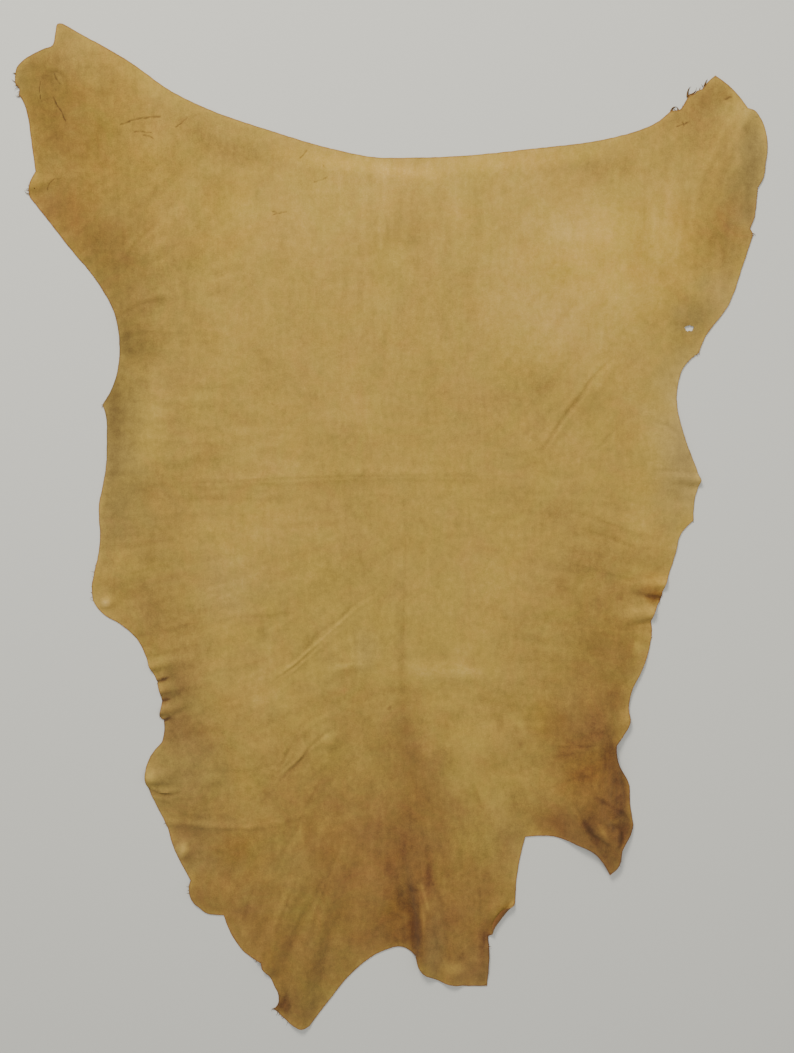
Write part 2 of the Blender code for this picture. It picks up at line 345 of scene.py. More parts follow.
# The cut edge, clockwise from the tip of the left foreleg, where the last run ends.
EDGE_RUNS: tuple[EdgeRun, ...] = tuple(EdgeRun(*row) for row in (
    ("neck edge", (
        (-440, 735), (-403, 715), (-375, 699), (-309, 654), (-265, 633), (-175, 602), (-80, 575),
        (-29, 565), (31, 564), (106, 567), (195, 576), (304, 590), (350, 602), (373, 612),
        (394, 629))),
    ("right foreleg nick", ((406, 630), (414, 641), (419, 650))),
    ("right foreleg notch", ((425, 651), (430, 656))),
    ("right foreleg top", ((439, 660), (443, 666), (455, 677))),
    ("right foreleg tip side", ((471, 666), (490, 648), (502, 632))),
    ("right foreleg end", (
        (512, 629), (521, 618), (530, 595), (532, 579), (530, 555), (528, 537), (520, 522))),
    ("right foreleg side", ((519, 503), (517, 482), (511, 465))),
    ("right foreleg side nick", ((515, 458), (514, 451))),
    ("right armpit edge", ((504, 418), (483, 356), (450, 308), (443, 289))),
    ("right armpit", ((422, 269), (413, 234), (427, 163), (441, 129), (451, 104))),
    ("right belly", ((443, 75), (442, 44))),
    ("right flank", ((424, 24), (417, -4), (408, -36), (399, -62))),
    ("right dimple", ((396, -74), (389, -88), (383, -106))),
    ("right thigh", (
        (385, -126), (382, -146), (373, -176), (356, -215), (353, -236), (355, -260), (347, -277),
        (335, -294))),
    ("right hind leg", ((337, -315), (342, -329), (355, -353), (359, -391), (364, -419))),
    ("right hind heel", ((360, -434), (348, -456), (343, -482), (329, -497))),
    ("right hind inner side", ((318, -477), (306, -463), (277, -449), (240, -438), (201, -439))),
    ("rump side", ((191, -486), (188, -512), (187, -541))),
    ("rump rolled edge", ((186, -562), (177, -578), (163, -591), (146, -596))),
    ("rump corner", ((148, -626), (147, -652), (145, -677))),
    ("rump end", ((101, -676), (68, -667), (42, -648), (35, -625))),
    ("tail arch", ((11, -614), (-19, -623), (-64, -658), (-98, -701), (-128, -742))),
    ("left hind leg end", ((-140, -746), (-152, -741), (-168, -729), (-182, -715))),
    ("left hind leg side", (
        (-176, -705), (-176, -692), (-182, -677), (-190, -660), (-200, -647), (-201, -637))),
    ("left hind leg nick", (
        (-216, -631), (-226, -624), (-239, -607), (-249, -589), (-254, -576), (-258, -564))),
    ("left thigh lobe", (
        (-270, -563), (-283, -561), (-294, -552), (-304, -542), (-309, -530), (-310, -519),
        (-307, -507))),
    ("left thigh", ((-319, -485), (-333, -453), (-340, -424))),
    ("left thigh roll", (
        (-346, -411), (-360, -381), (-371, -351), (-371, -332), (-359, -306), (-346, -290),
        (-342, -272), (-342, -257))),
    ("left pleat, lower", ((-348, -252), (-347, -242), (-344, -228))),
    ("left pleat, middle", ((-346, -218), (-350, -205))),
    ("left pleat, upper", ((-351, -198), (-356, -187))),
    ("left flank", (
        (-362, -175), (-368, -157), (-379, -134), (-402, -112), (-430, -94), (-443, -75),
        (-444, -54), (-440, -34), (-435, -14))),
    ("left belly", (
        (-432, 2), (-430, 26), (-431, 50), (-430, 70), (-424, 95), (-418, 125), (-416, 165),
        (-417, 200), (-421, 214))),
    ("left armpit", (
        (-404, 244), (-394, 293), (-399, 343), (-419, 383), (-464, 441), (-500, 488), (-517, 510))),
    ("left foreleg nick", ((-517, 520), (-512, 536), (-507, 545))),
    ("left foreleg side", ((-510, 573), (-513, 604), (-516, 625), (-522, 643), (-527, 651))),
    ("left foreleg shred", ((-526, 660), (-531, 664))),
    ("left foreleg end", (
        (-531, 678), (-528, 688), (-521, 696), (-507, 705), (-489, 713), (-477, 718), (-473, 731),
        (-471, 744))),
    ("left foreleg tip", ((-469, 747), (-462, 747))),
))

# Where the skin stands off the surface.
SWELLS: tuple[Swell, ...] = tuple(Swell(*row) for row in (
    ("left foreleg", -455, 630, 60, 90, 6),
    ("right foreleg", 482, 575, 60, 90, 7),
    ("neck", -18, 477, 120, 60, 3),
    ("left shoulder", -291, 379, 150, 120, 3.5),
    ("right shoulder", 284, 407, 150, 110, 3.5),
    ("left armpit", -378, 322, 60, 60, 4),
    ("right armpit", 428, 364, 60, 50, 5),
    ("left belly", -391, 119, 55, 90, 5),
    ("left belly end", -405, -37, 60, 55, 6),
    ("left belly bump", -421, -78, 16, 16, 6),
    ("right belly", 391, 148, 60, 90, 5),
    ("right belly end", 379, 15, 60, 50, 5),
    ("left flank", -254, -15, 110, 70, 3.5),
    ("right flank", 284, -15, 110, 80, 4),
    ("right thigh", 347, -181, 60, 60, 6),
    ("right thigh bump", 351, -260, 18, 22, 5),
    ("rump", 116, -296, 110, 90, 4),
    ("right rump", 222, -366, 80, 60, 5),
    ("rump corner", 134, -636, 30, 50, 5),
    ("left rump", -229, -288, 100, 60, 4),
    ("left thigh", -313, -382, 60, 40, 4),
    ("left thigh bump", -316, -460, 14, 18, 7),
    ("left thigh lobe", -286, -524, 50, 45, 6),
    ("left hind leg", -217, -540, 50, 70, 4),
    ("tail side", -31, -548, 45, 80, 5),
))

# The main folds, which lift the whole sheet.
FOLDS: tuple[Fold, ...] = tuple(Fold(*row) for row in (
    ("storage fold, middle", 16, 16, (
        (-333, 98, 0), (-251, 103, 1.6), (-97, 110, 2), (35, 113, 2), (119, 111, 1.6),
        (223, 105, 0))),
    ("storage fold, rump", 18, 20, (
        (-153, -184, 0), (-99, -174, 1.4), (-4, -174, 1.9), (98, -187, 1.7), (160, -196, 0))),
    ("left diagonal", 12, 12, (
        (5, -42, 0), (-60, -97, 1.3), (-114, -147, 1.6), (-153, -178, 1.3), (-195, -205, 0))),
    ("left rump diagonal", 14, 14, (
        (-71, -268, 0), (-115, -294, 1.2), (-163, -327, 1.2), (-223, -366, 0))),
    ("right diagonal", 14, 14, ((208, 133, 0), (244, 177, 1.4), (287, 228, 1.4), (332, 286, 0))),
    ("tail", 40, 20, (
        (14, -366, 0), (23, -429, 5), (39, -508, 11), (48, -580, 15), (44, -633, 15),
        (41, -652, 13))),
    ("right hind leg", 70, 60, (
        (330, -250, 4), (309, -301, 16), (295, -358, 24), (299, -413, 22), (321, -454, 14),
        (332, -500, 8))),
    ("right hind leg inner crease", 9, 9, (
        (279, -388, 0), (302, -429, -4), (324, -454, -3.5), (333, -470, 0))),
    ("right hind leg outer crease", 9, 9, (
        (310, -374, 0), (326, -405, -4), (343, -430, -3.5), (351, -448, 0))),
    ("left pleat, upper", 13, 11, ((-368, -177, 7), (-337, -172, 4.5), (-302, -166, 0))),
    ("left pleat, middle", 12, 10, ((-353, -214, 6), (-326, -209, 3.5), (-306, -204, 0))),
    ("left pleat, lower", 12, 10, ((-351, -245, 6), (-326, -239, 3.5), (-306, -233, 0))),
    ("left thigh roll", 18, 16, ((-377, -346, 11), (-355, -347, 9), (-317, -343, 0))),
    ("left thigh ridge", 7, 7, (
        (-343, -417, 3), (-278, -422, 2.2), (-200, -423, 1.7), (-140, -406, 1), (-98, -384, 0))),
    ("left hind leg, outer", 30, 28, ((-113, -441, 0), (-153, -540, 8), (-194, -639, 10))),
    ("left hind leg, inner", 26, 30, (
        (-72, -452, 0), (-95, -524, 7), (-127, -636, 9), (-146, -747, 8))),
    ("rump end", 26, 26, ((91, -580, 0), (96, -636, 7), (88, -678, 8))),
    ("rump rolled edge", 14, 14, (
        (139, -578, 0), (152, -559, 2.5), (173, -535, 2.5), (180, -505, 0))),
    ("right pleat, lower", 14, 16, ((389, -94, 9), (361, -100, 6), (326, -106, 0))),
    ("right pleat, upper", 13, 13, ((410, -49, 7), (381, -52, 4), (348, -57, 0))),
    ("right belly ridge", 12, 12, ((452, 104, 7), (421, 107, 4), (384, 111, 0))),
    ("left foreleg ridge", 15, 15, ((-520, 524, 5), (-490, 534, 2.5), (-455, 543, 0))),
))

# Fine creases and ridges between the main folds.
CREASES: tuple[Fold, ...] = tuple(Fold(*row) for row in (
    ("storage fold line", 3, 3, (
        (-340, 97, 0), (-251, 101, -0.7), (-97, 108, -0.8), (35, 111, -0.7), (119, 110, -0.6),
        (231, 104, 0))),
    ("storage fold line, rump", 3, 3, (
        (-153, -187, 0), (-99, -178, -0.2), (-4, -176, -0.2), (98, -191, -0.2), (160, -199, 0))),
    ("under the storage fold", 9, 7, (
        (-334, 72, 0), (-282, 75, -0.8), (-216, 76, -0.7), (-121, 75, 0))),
    ("under the storage fold, right", 8, 8, ((99, 80, 0), (172, 86, -0.8), (246, 80, 0))),
    ("spine, neck", 10, 10, ((35, 561, 0), (35, 505, -0.3), (33, 435, -0.4), (25, 336, 0))),
    ("spine, loin", 4, 4, ((23, 119, 0), (19, 3, -1.2), (17, -90, -1.4), (14, -181, 0))),
    ("left diagonal line, upper", 3.5, 3.5, (
        (-14, -61, 0), (-52, -78, -1.2), (-81, -104, -1.5), (-112, -126, -1.6), (-131, -151, -1.4),
        (-150, -167, 0))),
    ("left diagonal line, lower", 3.5, 3.5, (
        (-100, -138, 0), (-120, -153, -1.2), (-140, -171, -1.4), (-170, -190, -1),
        (-215, -214, 0))),
    ("left diagonal ridge", 3.5, 3.5, (
        (-24, -69, 0), (-48, -84, 1), (-83, -114, 1.3), (-116, -143, 1.4), (-147, -171, 1.2),
        (-183, -197, 1.3), (-214, -210, 1), (-247, -224, 0))),
    ("left diagonal ridge, second", 3.5, 3.5, (
        (-106, -146, 0), (-121, -158, 1.1), (-136, -171, 1.3), (-152, -188, 0))),
    ("left diagonal ridge, low", 4, 4, (
        (-153, -202, 0), (-178, -215, 1.1), (-205, -227, 1.1), (-225, -239, 0))),
    ("left rump ridge", 3.5, 3.5, (
        (-118, -298, 0), (-143, -318, 1.4), (-160, -333, 1.2), (-178, -347, 0))),
    ("left rump line, steep", 4, 4, (
        (-98, -342, 0), (-111, -356, -1.3), (-123, -381, -1.8), (-131, -394, 0))),
    ("left rump line, upper", 4, 3.5, (
        (-86, -266, 0), (-104, -281, -1.2), (-119, -294, -1.7), (-131, -309, -2),
        (-139, -321, -2.4), (-153, -334, -2), (-173, -355, 0))),
    ("left rump line, lower", 3.5, 3.5, (
        (-149, -294, 0), (-160, -311, -2), (-163, -320, -2.2), (-179, -333, 0))),
    ("right diagonal line", 5.5, 4.5, (
        (211, 140, 0), (225, 155, -1.6), (241, 183, -2), (258, 207, -2.2), (275, 227, -2.2),
        (285, 245, -2), (300, 262, -1.6), (325, 284, 0))),
    ("right diagonal line, short", 4, 4, ((282, 119, 0), (310, 163, -0.8), (343, 192, 0))),
    ("left flank ridge, high", 3.5, 3.5, ((-297, -74, 0), (-275, -63, 0.7), (-246, -50, 0))),
    ("left flank ridge, low", 3.5, 3.5, ((-292, -82, 0), (-268, -71, 1), (-238, -60, 0))),
    ("left flank streak, high", 5, 5, ((-306, -90, 0), (-267, -72, -0.7), (-211, -52, 0))),
    ("left flank streak, middle", 5, 5, (
        (-378, -129, -0.5), (-330, -117, -0.5), (-241, -104, -0.4), (-206, -99, -0.8),
        (-182, -100, -1.6), (-155, -93, 0))),
    ("left flank streak, low", 5, 5, ((-353, -158, -0.7), (-292, -143, -0.8), (-227, -129, 0))),
    ("pleat line, upper", 2.4, 3.6, (
        (-355, -199, -3.4), (-342, -195, -2.6), (-318, -184, -0.7), (-285, -172, 0))),
    ("pleat line, middle", 2.4, 3.6, (
        (-350, -229, -3), (-336, -226, -2.4), (-318, -219, -0.6), (-298, -211, 0))),
    ("pleat line, lower", 2.4, 3.6, (
        (-347, -260, -3), (-334, -254, -2.2), (-320, -246, -0.6), (-302, -236, 0))),
    ("pleat streak, upper", 5, 5, ((-280, -184, 0), (-235, -178, -0.6), (-175, -158, 0))),
    ("pleat streak, lower", 5, 5, ((-294, -245, 0), (-240, -227, -0.6), (-150, -199, 0))),
    ("thigh roll line", 4, 6, ((-372, -361, -4), (-351, -372, -4), (-313, -366, 0))),
    ("thigh ridge line", 4, 4, (
        (-346, -416, -1.2), (-310, -420, -0.6), (-250, -421, -0.4), (-170, -411, 0))),
    ("thigh streak", 5, 5, ((-290, -335, 0), (-230, -338, -0.9), (-154, -319, 0))),
    ("left leg valley", 7, 7, (
        (-86, -460, 0), (-107, -508, -2.2), (-142, -580, -2.4), (-167, -649, 0))),
    ("left leg line, inner", 4, 4, ((-72, -441, 0), (-95, -495, -1.4), (-120, -564, 0))),
    ("left leg line, outer", 5, 5, ((-141, -492, 0), (-166, -556, -1.4), (-191, -612, 0))),
    ("left leg tip", 6, 6, ((-158, -677, 0), (-169, -706, -2), (-177, -721, -2))),
    ("thigh fan, high", 5, 5, ((-125, -382, 0), (-155, -445, -1.2), (-199, -508, 0))),
    ("thigh fan, low", 5, 5, ((-198, -492, 0), (-221, -548, -1.2), (-233, -596, 0))),
    ("tail line", 9, 7, ((12, -430, 0), (20, -500, -0.6), (30, -560, -1.1), (36, -622, -1.6))),
    ("tail line, left", 6, 6, ((-9, -440, 0), (2, -500, -0.4), (12, -560, -0.6), (20, -618, -0.4))),
    ("tail line, right", 4, 4, ((54, -479, 0), (66, -524, -1.6), (91, -564, 0))),
    ("tail ridge", 5, 5, ((36, -500, 0), (44, -535, 1), (48, -575, 1.2), (43, -625, 0))),
    ("rump line, high", 4, 4, ((176, -360, 0), (180, -371, -1.8), (185, -387, -2), (191, -405, 0))),
    ("rump line, low", 5, 5, ((117, -350, 0), (138, -400, -1), (163, -441, 0))),
    ("rump line, short", 5, 5, ((118, -476, 0), (133, -524, -1.2), (131, -580, 0))),
    ("notch streak, high", 3.5, 3.5, (
        (229, -298, 0), (261, -298, -0.8), (288, -295, -1), (318, -291, 0))),
    ("notch streak, middle", 3.5, 3.5, (
        (226, -317, 0), (252, -313, -0.8), (276, -306, -0.9), (304, -303, 0))),
    ("notch streak, low", 4, 4, ((230, -369, 0), (270, -344, -1), (309, -335, 0))),
    ("right leg crease, inner", 4.5, 3.5, (
        (272, -378, 0), (285, -407, -1.2), (297, -428, -2), (306, -437, -2), (327, -451, -0.6))),
    ("right leg crease, outer", 4, 4, (
        (300, -368, 0), (315, -377, -1.4), (324, -385, -1.4), (334, -392, -1.2), (345, -399, -1.5),
        (358, -412, -0.8))),
    ("right leg ridge", 4, 4, ((303, -405, 0), (313, -420, 1.6), (320, -432, 1.6), (324, -443, 0))),
    ("right leg edge fold", 7, 5, (
        (310, -272, 0), (325, -286, -1), (335, -305, -1.2), (345, -345, -1), (352, -400, 0))),
    ("right flank wrinkle, high", 5, 5, (
        (240, 60, 0), (287, 51, -0.8), (347, 27, -0.7), (382, 18, 0))),
    ("right flank wrinkle, middle", 5, 5, ((268, 33, 0), (314, 20, -1), (380, -9, 0))),
    ("right flank wrinkle, low", 5, 5, ((247, -15, 0), (306, -33, -0.8), (388, -52, 0))),
    ("right dimple", 6, 5, ((402, -72, -5), (381, -69, -3.5), (351, -63, 0))),
    ("right flank streak", 5, 4, (
        (262, -117, 0), (300, -124, -1.2), (320, -128, -1.3), (350, -133, 0))),
    ("right belly line", 4, 4, ((450, 113, -1.6), (421, 116, -1.4), (377, 119, 0))),
    ("right belly line, high", 5, 5, ((425, 163, -1), (395, 186, -1), (360, 192, 0))),
    ("foreleg line, right", 7, 7, ((441, 435, 0), (436, 484, -1), (449, 544, -1.1), (476, 582, 0))),
    ("foreleg line, left", 5, 5, (
        (-491, 674, 0), (-471, 682, -1.4), (-457, 663, -1), (-461, 644, 0))),
    ("armpit line, left", 5, 5, ((-395, 339, -0.7), (-354, 360, -0.8), (-298, 364, 0))),
    ("armpit line, left lower", 5, 5, ((-393, 307, -0.6), (-350, 317, -0.7), (-292, 310, 0))),
    ("armpit streak, left", 5, 5, ((-390, 414, 0), (-361, 449, -1), (-320, 486, 0))),
    ("tail crinkle, high", 4, 4, ((6, -528, 0), (18, -536, -0.8), (26, -545, 0))),
    ("tail crinkle, middle", 4, 4, ((-4, -556, 0), (12, -566, -0.8), (24, -570, 0))),
    ("tail crinkle, low", 4, 4, ((38, -548, 0), (58, -563, -0.8), (66, -580, 0))),
    ("tail crinkle, right", 4, 4, ((62, -541, 0), (80, -533, -0.7), (98, -531, 0))),
    ("leg crinkle, high", 4, 4, ((313, -300, 0), (317, -325, -1), (314, -350, 0))),
    ("leg crinkle, ridge", 4, 4, ((309, -320, 0), (306, -345, 1), (302, -368, 0))),
    ("leg crinkle, outer", 4, 4, ((335, -345, 0), (337, -365, -1.2), (334, -385, 0))),
    ("leg crinkle, outer ridge", 4, 4, ((343, -352, 0), (346, -372, 1), (348, -392, 0))),
    ("tail ridge line", 3.5, 3.5, ((41, -502, 0), (47, -523, 1.2), (51, -540, 1.3), (59, -560, 0))),
    ("notch streak, ridge", 4, 4, (
        (240, -294, 0), (258, -296, 0.8), (280, -300, 0.9), (298, -309, 0))),
    ("leg fan, short", 4, 4, (
        (315, -413, 0), (324, -417, -1.4), (336, -419, -1.2), (346, -430, -1.6), (347, -446, -1.6),
        (343, -458, 0))),
    ("leg fan, upper edge", 5, 5, ((336, -336, 0), (330, -362, -1.2), (331, -392, 0))),
    ("leg fan, inner", 5, 5, ((301, -320, 0), (305, -344, -0.9), (312, -364, 0))),
    ("rump end line", 5, 5, ((63, -575, 0), (73, -617, -1.6), (85, -639, 0))),
))

# Broad shades and drifts first, then small patches, dark ones, and pale ones. The broad shades are
# painted shade, darker towards the rump, the hind legs and the left edge, and the broad pale
# patches over the neck and shoulders are painted light. Many dark rows in creases, and pale rows on
# bumps, ridges and the neck edge, are painted shade and painted highlights too.
STAINS_AND_PAINTED_LIGHT: tuple[StainOrPaintedLight, ...] = tuple(StainOrPaintedLight(*row) for row in (
    ("left foreleg shade", -460, 560, 150, 230, 0, -0.48, 0.1),
    ("left armpit shade", -410, 380, 110, 160, 0, -0.3, 0),
    ("left side shade", -380, 30, 110, 260, 0, -0.2, 0),
    ("left flank shade", -340, -260, 130, 200, 0, -0.28, 0),
    ("rump shade", 0, -560, 330, 330, 0, -0.55, 0),
    ("left hind leg shade", -220, -560, 160, 200, 0, -0.33, 0),
    ("right thigh shade", 290, -300, 130, 220, 0, -0.42, 0),
    ("right hind leg shade", 300, -440, 80, 70, 0, -0.4, 0.1),
    ("rump corner shade", 115, -605, 80, 120, 0, -0.42, 0.7),
    ("right flank shade", 300, -80, 150, 120, 0, -0.15, 0),
    # Painted light: broad paler patches over the neck and the right shoulder.
    ("neck, painted light", 30, 520, 260, 90, 0, 0.3, 0),
    ("right shoulder, painted light", 265, 380, 165, 125, 0, 0.46, 0),
    ("right leg root", 280, -285, 60, 62, 0, -0.46, 0.05),
    ("right hind leg tip", 332, -470, 48, 46, 0, -0.98, 0.9, 0.1),
    ("right thigh, inner shade", 278, -232, 80, 80, 0, -0.16, 0.4),
    ("right thigh, outer shade", 350, -150, 50, 80, 0, -0.18, 0.15),
    ("tail side shade", -50, -550, 65, 75, 0, -0.18, 0.3),
    ("rump corner edge shade", 148, -640, 30, 50, 0, -0.35, 0),
    ("left hind leg end shade", -150, -665, 50, 60, 0, -0.25, 0.1),
    ("pleats shade", -330, -225, 40, 66, 0, -0.3, 0.1),
    ("left thigh, inner shade", -265, -450, 60, 50, 0, -0.12, 0.2),
    ("left thigh shade, low", -300, -455, 85, 60, 0, -0.48, 0.05, 0.2),
    ("left flank shade, inner", -260, -245, 70, 50, 0, -0.2, 0),
    ("tail root shade", 30, -430, 70, 70, 0, -0.26, 0),
    ("left hind leg tip shade", -140, -720, 60, 40, 0, -0.48, 0.3, 0.1),
    ("left belly top shade", -400, 250, 50, 80, 0, -0.43, 0),
    ("left neck shade", -280, 540, 80, 80, 0, -0.12, 0),
    ("right foreleg top shade", 430, 635, 70, 40, 0, -0.32, 0),
    ("right foreleg side shade", 495, 430, 40, 50, 0, -0.2, 0),
    ("right flank shade, high", 290, 35, 140, 50, 0, -0.2, 0),
    ("right rump shade", 185, -140, 46, 100, 0, -0.24, 0),
    ("left flank shade, high", -340, -20, 90, 90, 0, -0.12, 0),
    ("left foreleg top shade", -490, 680, 60, 60, 0, -0.28, 0),
    ("left foreleg side shade", -490, 600, 50, 120, 0, -0.15, 0),
    ("left armpit edge shade", -400, 390, 60, 80, 0, -0.32, 0),
    ("left ribs shade", -320, 160, 90, 200, 0, -0.12, -0.1),
    ("left shoulder shade", -180, 250, 80, 60, 0, -0.1, 0),
    ("left rump shade", -150, -330, 100, 70, 0, -0.18, 0),
    ("loin shade", -40, -250, 120, 80, 0, -0.17, 0),
    ("rump middle shade", 0, -400, 150, 100, 0, -0.18, 0.2),
    ("right loin shade", 150, -250, 60, 50, 0, -0.2, 0),
    ("tail arch shade", -60, -640, 80, 60, 0, -0.2, 0.2),
    ("left thigh side shade", -340, -430, 60, 100, 0, -0.15, 0),
    ("right foreleg shade", 470, 430, 60, 60, 0, -0.15, 0.2),
    ("right foreleg shade, high", 450, 590, 60, 50, 0, -0.2, 0),
    ("tail rust", 15, -500, 120, 150, 0, 0, 0.7),
    ("tail rust, low", 45, -580, 60, 70, 0, 0, 0.4),
    ("right hind leg rust", 300, -380, 90, 120, 0, 0, 0.7),
    ("left foreleg corner rust", -480, 500, 50, 50, 0, -0.25, 0.8),
    ("left hind leg rust", -190, -610, 80, 130, 0, 0, 0.8),
    ("right flank rust", 335, -70, 90, 55, 0, 0, 0.35),
    ("left side khaki", -400, 190, 60, 160, 0, 0, -0.6),
    ("left armpit khaki", -350, 330, 70, 60, 0, 0, -0.15),
    ("right belly khaki", 430, 110, 60, 160, 0, 0, -0.7),
    ("right armpit khaki", 430, 340, 60, 50, 0, 0, -0.5),
    ("right foreleg khaki", 510, 560, 40, 80, 0, 0, -0.5),
    ("left flank khaki", -340, -330, 50, 100, 0, 0, -0.15),
    ("back khaki", -60, -110, 240, 130, 0, 0, -0.35),
    ("left foreleg, rich", -430, 560, 170, 170, 0, 0.05, 0.1, -0.25),
    ("left belly, loose nap", -415, 130, 60, 190, 0, -0.25, 0, 0.3),
    ("left thigh, loose nap", -335, -310, 95, 180, 0, -0.21, 0, 0.3),
    ("left hind leg, loose nap", -240, -610, 50, 70, 0, -0.18, 0),
    ("right belly, loose nap", 430, 170, 60, 150, 0, 0, 0, 0.8),
    ("right foreleg, loose nap", 515, 550, 40, 110, 0, -0.2, 0, 0.45),
    ("right armpit, loose nap", 470, 370, 40, 60, 0, 0, 0, 0.4),
    ("rump corner, loose nap", 128, -650, 60, 55, 0, -0.02, 0, 0.15),
    ("rump side, loose nap", 180, -450, 40, 90, 0, -0.12, -0.15, 0.1),
    ("left flank, loose nap", -240, -50, 60, 60, 0, 0, 0, 0.3),
    ("left rump, pale", -165, -262, 75, 62, 20, 0.08, 0),
    ("left hind leg, pale", -150, -500, 50, 130, 0, 0.16, 0),
    ("left flank, over the pleats", -312, -200, 36, 40, 0, -0.24, 0.1),
    ("left thigh, middle", -278, -368, 30, 38, 0, -0.2, 0.1),
    ("right dimple shade", 372, -66, 30, 22, 0, -0.3, 0.2),
    ("left neck, brown", -295, 595, 46, 50, 0, -0.27, 0),
    ("left shoulder, brown", -300, 438, 44, 52, 0, -0.27, 0),
    ("left foreleg end, brown", -525, 675, 24, 34, 0, -0.25, -0.5),
    # Painted light: more of the paler neck.
    ("neck, low painted light", 100, 425, 100, 50, 0, 0.16, 0),
    ("neck, left low painted light", -100, 428, 90, 32, 0, 0.12, 0),
    ("right neck, pale", 320, 510, 95, 36, 0, 0.13, 0),
    ("beside the tail", 64, -617, 22, 52, 0, 0.24, -0.4, 0.3),
    ("right leg inner shade", 262, -432, 72, 34, 0, -0.42, 0.5),
    ("right thigh shade, low", 288, -318, 42, 55, 0, -0.3, 0.3, -0.2),
    ("rump shade, low", 8, -470, 105, 70, 0, -0.25, 0.15),
    ("left rump shade, low", -128, -370, 66, 52, 0, -0.15, 0.35),
    ("loin shade, right", 150, -235, 60, 52, 0, -0.17, 0),
    ("right shoulder, rich", 340, 425, 140, 100, 0, 0.06, 0.05, -0.35),
    ("left neck, rich", -245, 490, 80, 100, 0, 0, 0.1, -0.2),
    ("right neck edge, rusty", 410, 615, 50, 30, 20, 0, 0.5),
    ("right armpit, olive", 396, 247, 34, 42, 0, 0, -0.8, 0.2),
    ("rump rust, left", -70, -470, 70, 110, 0, 0, 0.45),
    # Painted shade in the creases: along the backbone, beside the storage fold over the rump, and
    # in the left diagonal.
    ("backbone, low", 12, -140, 10, 160, 2, -0.26, 0.1),
    ("rump storage fold, dark line", -57, -165, 56, 4.5, 0, -0.3, 0),
    ("left diagonal, dark", -126, -139, 17, 8, 45, -0.28, 0.1),
    ("left rump, brown", -126, -430, 13, 24, 15, -0.35, 0.4),
    ("left leg shade, high", -160, -431, 7, 26, -8, -0.3, 0.2),
    ("right rump, dark", 160, -262, 7, 17, 0, -0.3, 0),
    ("right rump, dark spot", 191, -294, 9, 10, 0, -0.3, 0.2),
    ("right pleat shade", 368, -96, 24, 10, -10, -0.05, 0),
    ("loin speck", -5, -238, 4, 4, 0, -0.7, 0.3),
    ("loin rust speck", -71, -212, 6, 5, 0, 0, 1.2),
    ("right flank, rich", 320, -125, 75, 45, 0, 0, 0, -0.15),
    ("right thigh, brown", 345, -163, 26, 26, -30, -0.1, 0.1),
    ("left ribs shade, inner", -250, 160, 66, 52, 0, -0.12, 0),
    ("back shade", -60, -30, 56, 66, 0, -0.13, 0),
    ("right flank shade, low", 285, -95, 66, 36, 0, -0.13, 0),
    ("left thigh rust", -225, -460, 60, 60, 0, 0.08, 0.4),
    # Painted shade in a crease of the left rump and in the heel crease of the right hind leg.
    ("left rump, crease shade", -140, -322, 34, 9, 43, -0.25, 0.1),
    ("right leg heel line", 345, -440, 5, 16, -6, -0.55, 0.2),
    ("tail, olive core", 29, -518, 11, 9, 0, -0.35, -0.2),
    ("tail, rust strip left", 16, -467, 6, 30, 0, -0.16, 0.6),
    ("tail, rust strip right", 56, -495, 6, 38, -3, -0.22, 0.5),
    ("rump, brown spot", 105, -627, 13, 8, 0, -0.25, 0.4),
    ("rump corner, brown spot", 139, -597, 11, 14, 0, -0.4, 0.4),
    ("rump speck, high", 77, -415, 3.5, 3.5, 0, -0.5, 0.3),
    ("rump speck, middle", 51, -457, 3.5, 5, 0, -0.4, 0.2),
    ("rump speck, low", 85, -447, 3.5, 3.5, 0, -0.4, 0.2),
    ("right flank, brown spot", 336, -73, 9, 9, 0, -0.25, 0.4),
    ("rump side, rust", 162, -520, 42, 40, 0, -0.05, 0.6),
    ("left hind leg, rust spot", -210, -555, 36, 42, 0, 0, 0.4),
    ("tail arch, rust", -45, -600, 46, 26, 0, 0, 0.4),
    ("tail root, rust", 22, -405, 50, 46, 0, 0, 0.3),
    ("loin, olive", 30, -212, 42, 36, 0, 0, -0.45),
    ("left loin, olive", -240, -175, 46, 40, 0, 0, -0.4),
    ("back, olive", 150, -42, 40, 36, 0, 0, -0.35),
    ("left side of the tail", 2, -560, 18, 50, 0, 0.02, 0.1, -0.1),
    ("left foreleg, inner light", -365, 562, 44, 24, -30, 0.14, 0),
    ("left foreleg edge, olive", -500, 545, 20, 30, 0, 0, -0.45),
    # Painted shade under the bulge of the left flank.
    ("left flank, under the bulge", -340, -110, 62, 16, -6, -0.2, 0.05),
    ("left thigh streak shade", -290, -295, 14, 56, -10, -0.17, 0),
    ("left thigh roll, bare", -346, -370, 18, 14, 0, 0.15, 0),
    ("left rump bloom", -212, -328, 30, 14, 0, 0.13, 0),
    ("left thigh, rust spot", -290, -545, 22, 24, 0, 0, 0.45),
    ("left thigh, rich", -240, -452, 44, 34, 0, 0, 0, -0.3),
    ("left loin, olive low", -100, -190, 38, 28, 0, 0, -0.45),
    ("loin, olive right", 140, -195, 28, 30, 0, 0, -0.35),
    ("backbone, dusty", -40, -152, 26, 38, 0, 0, 0, 0.35),
    ("left back, bloom", -190, 85, 22, 14, 0, 0.13, 0, 0.2),
    ("backbone bloom", 70, 362, 20, 36, 0, 0.13, 0),
    ("right back, small bloom", 263, -24, 16, 16, 0, 0.15, 0),
    ("right side shade, high", 204, 178, 18, 14, 0, -0.12, 0),
    ("right side shade, low", 210, -12, 14, 16, 0, -0.12, 0),
    ("right shoulder, bare", 388, 525, 20, 20, 0, 0.14, 0),
    ("right foreleg root, shade", 393, 378, 24, 26, 0, -0.15, 0),
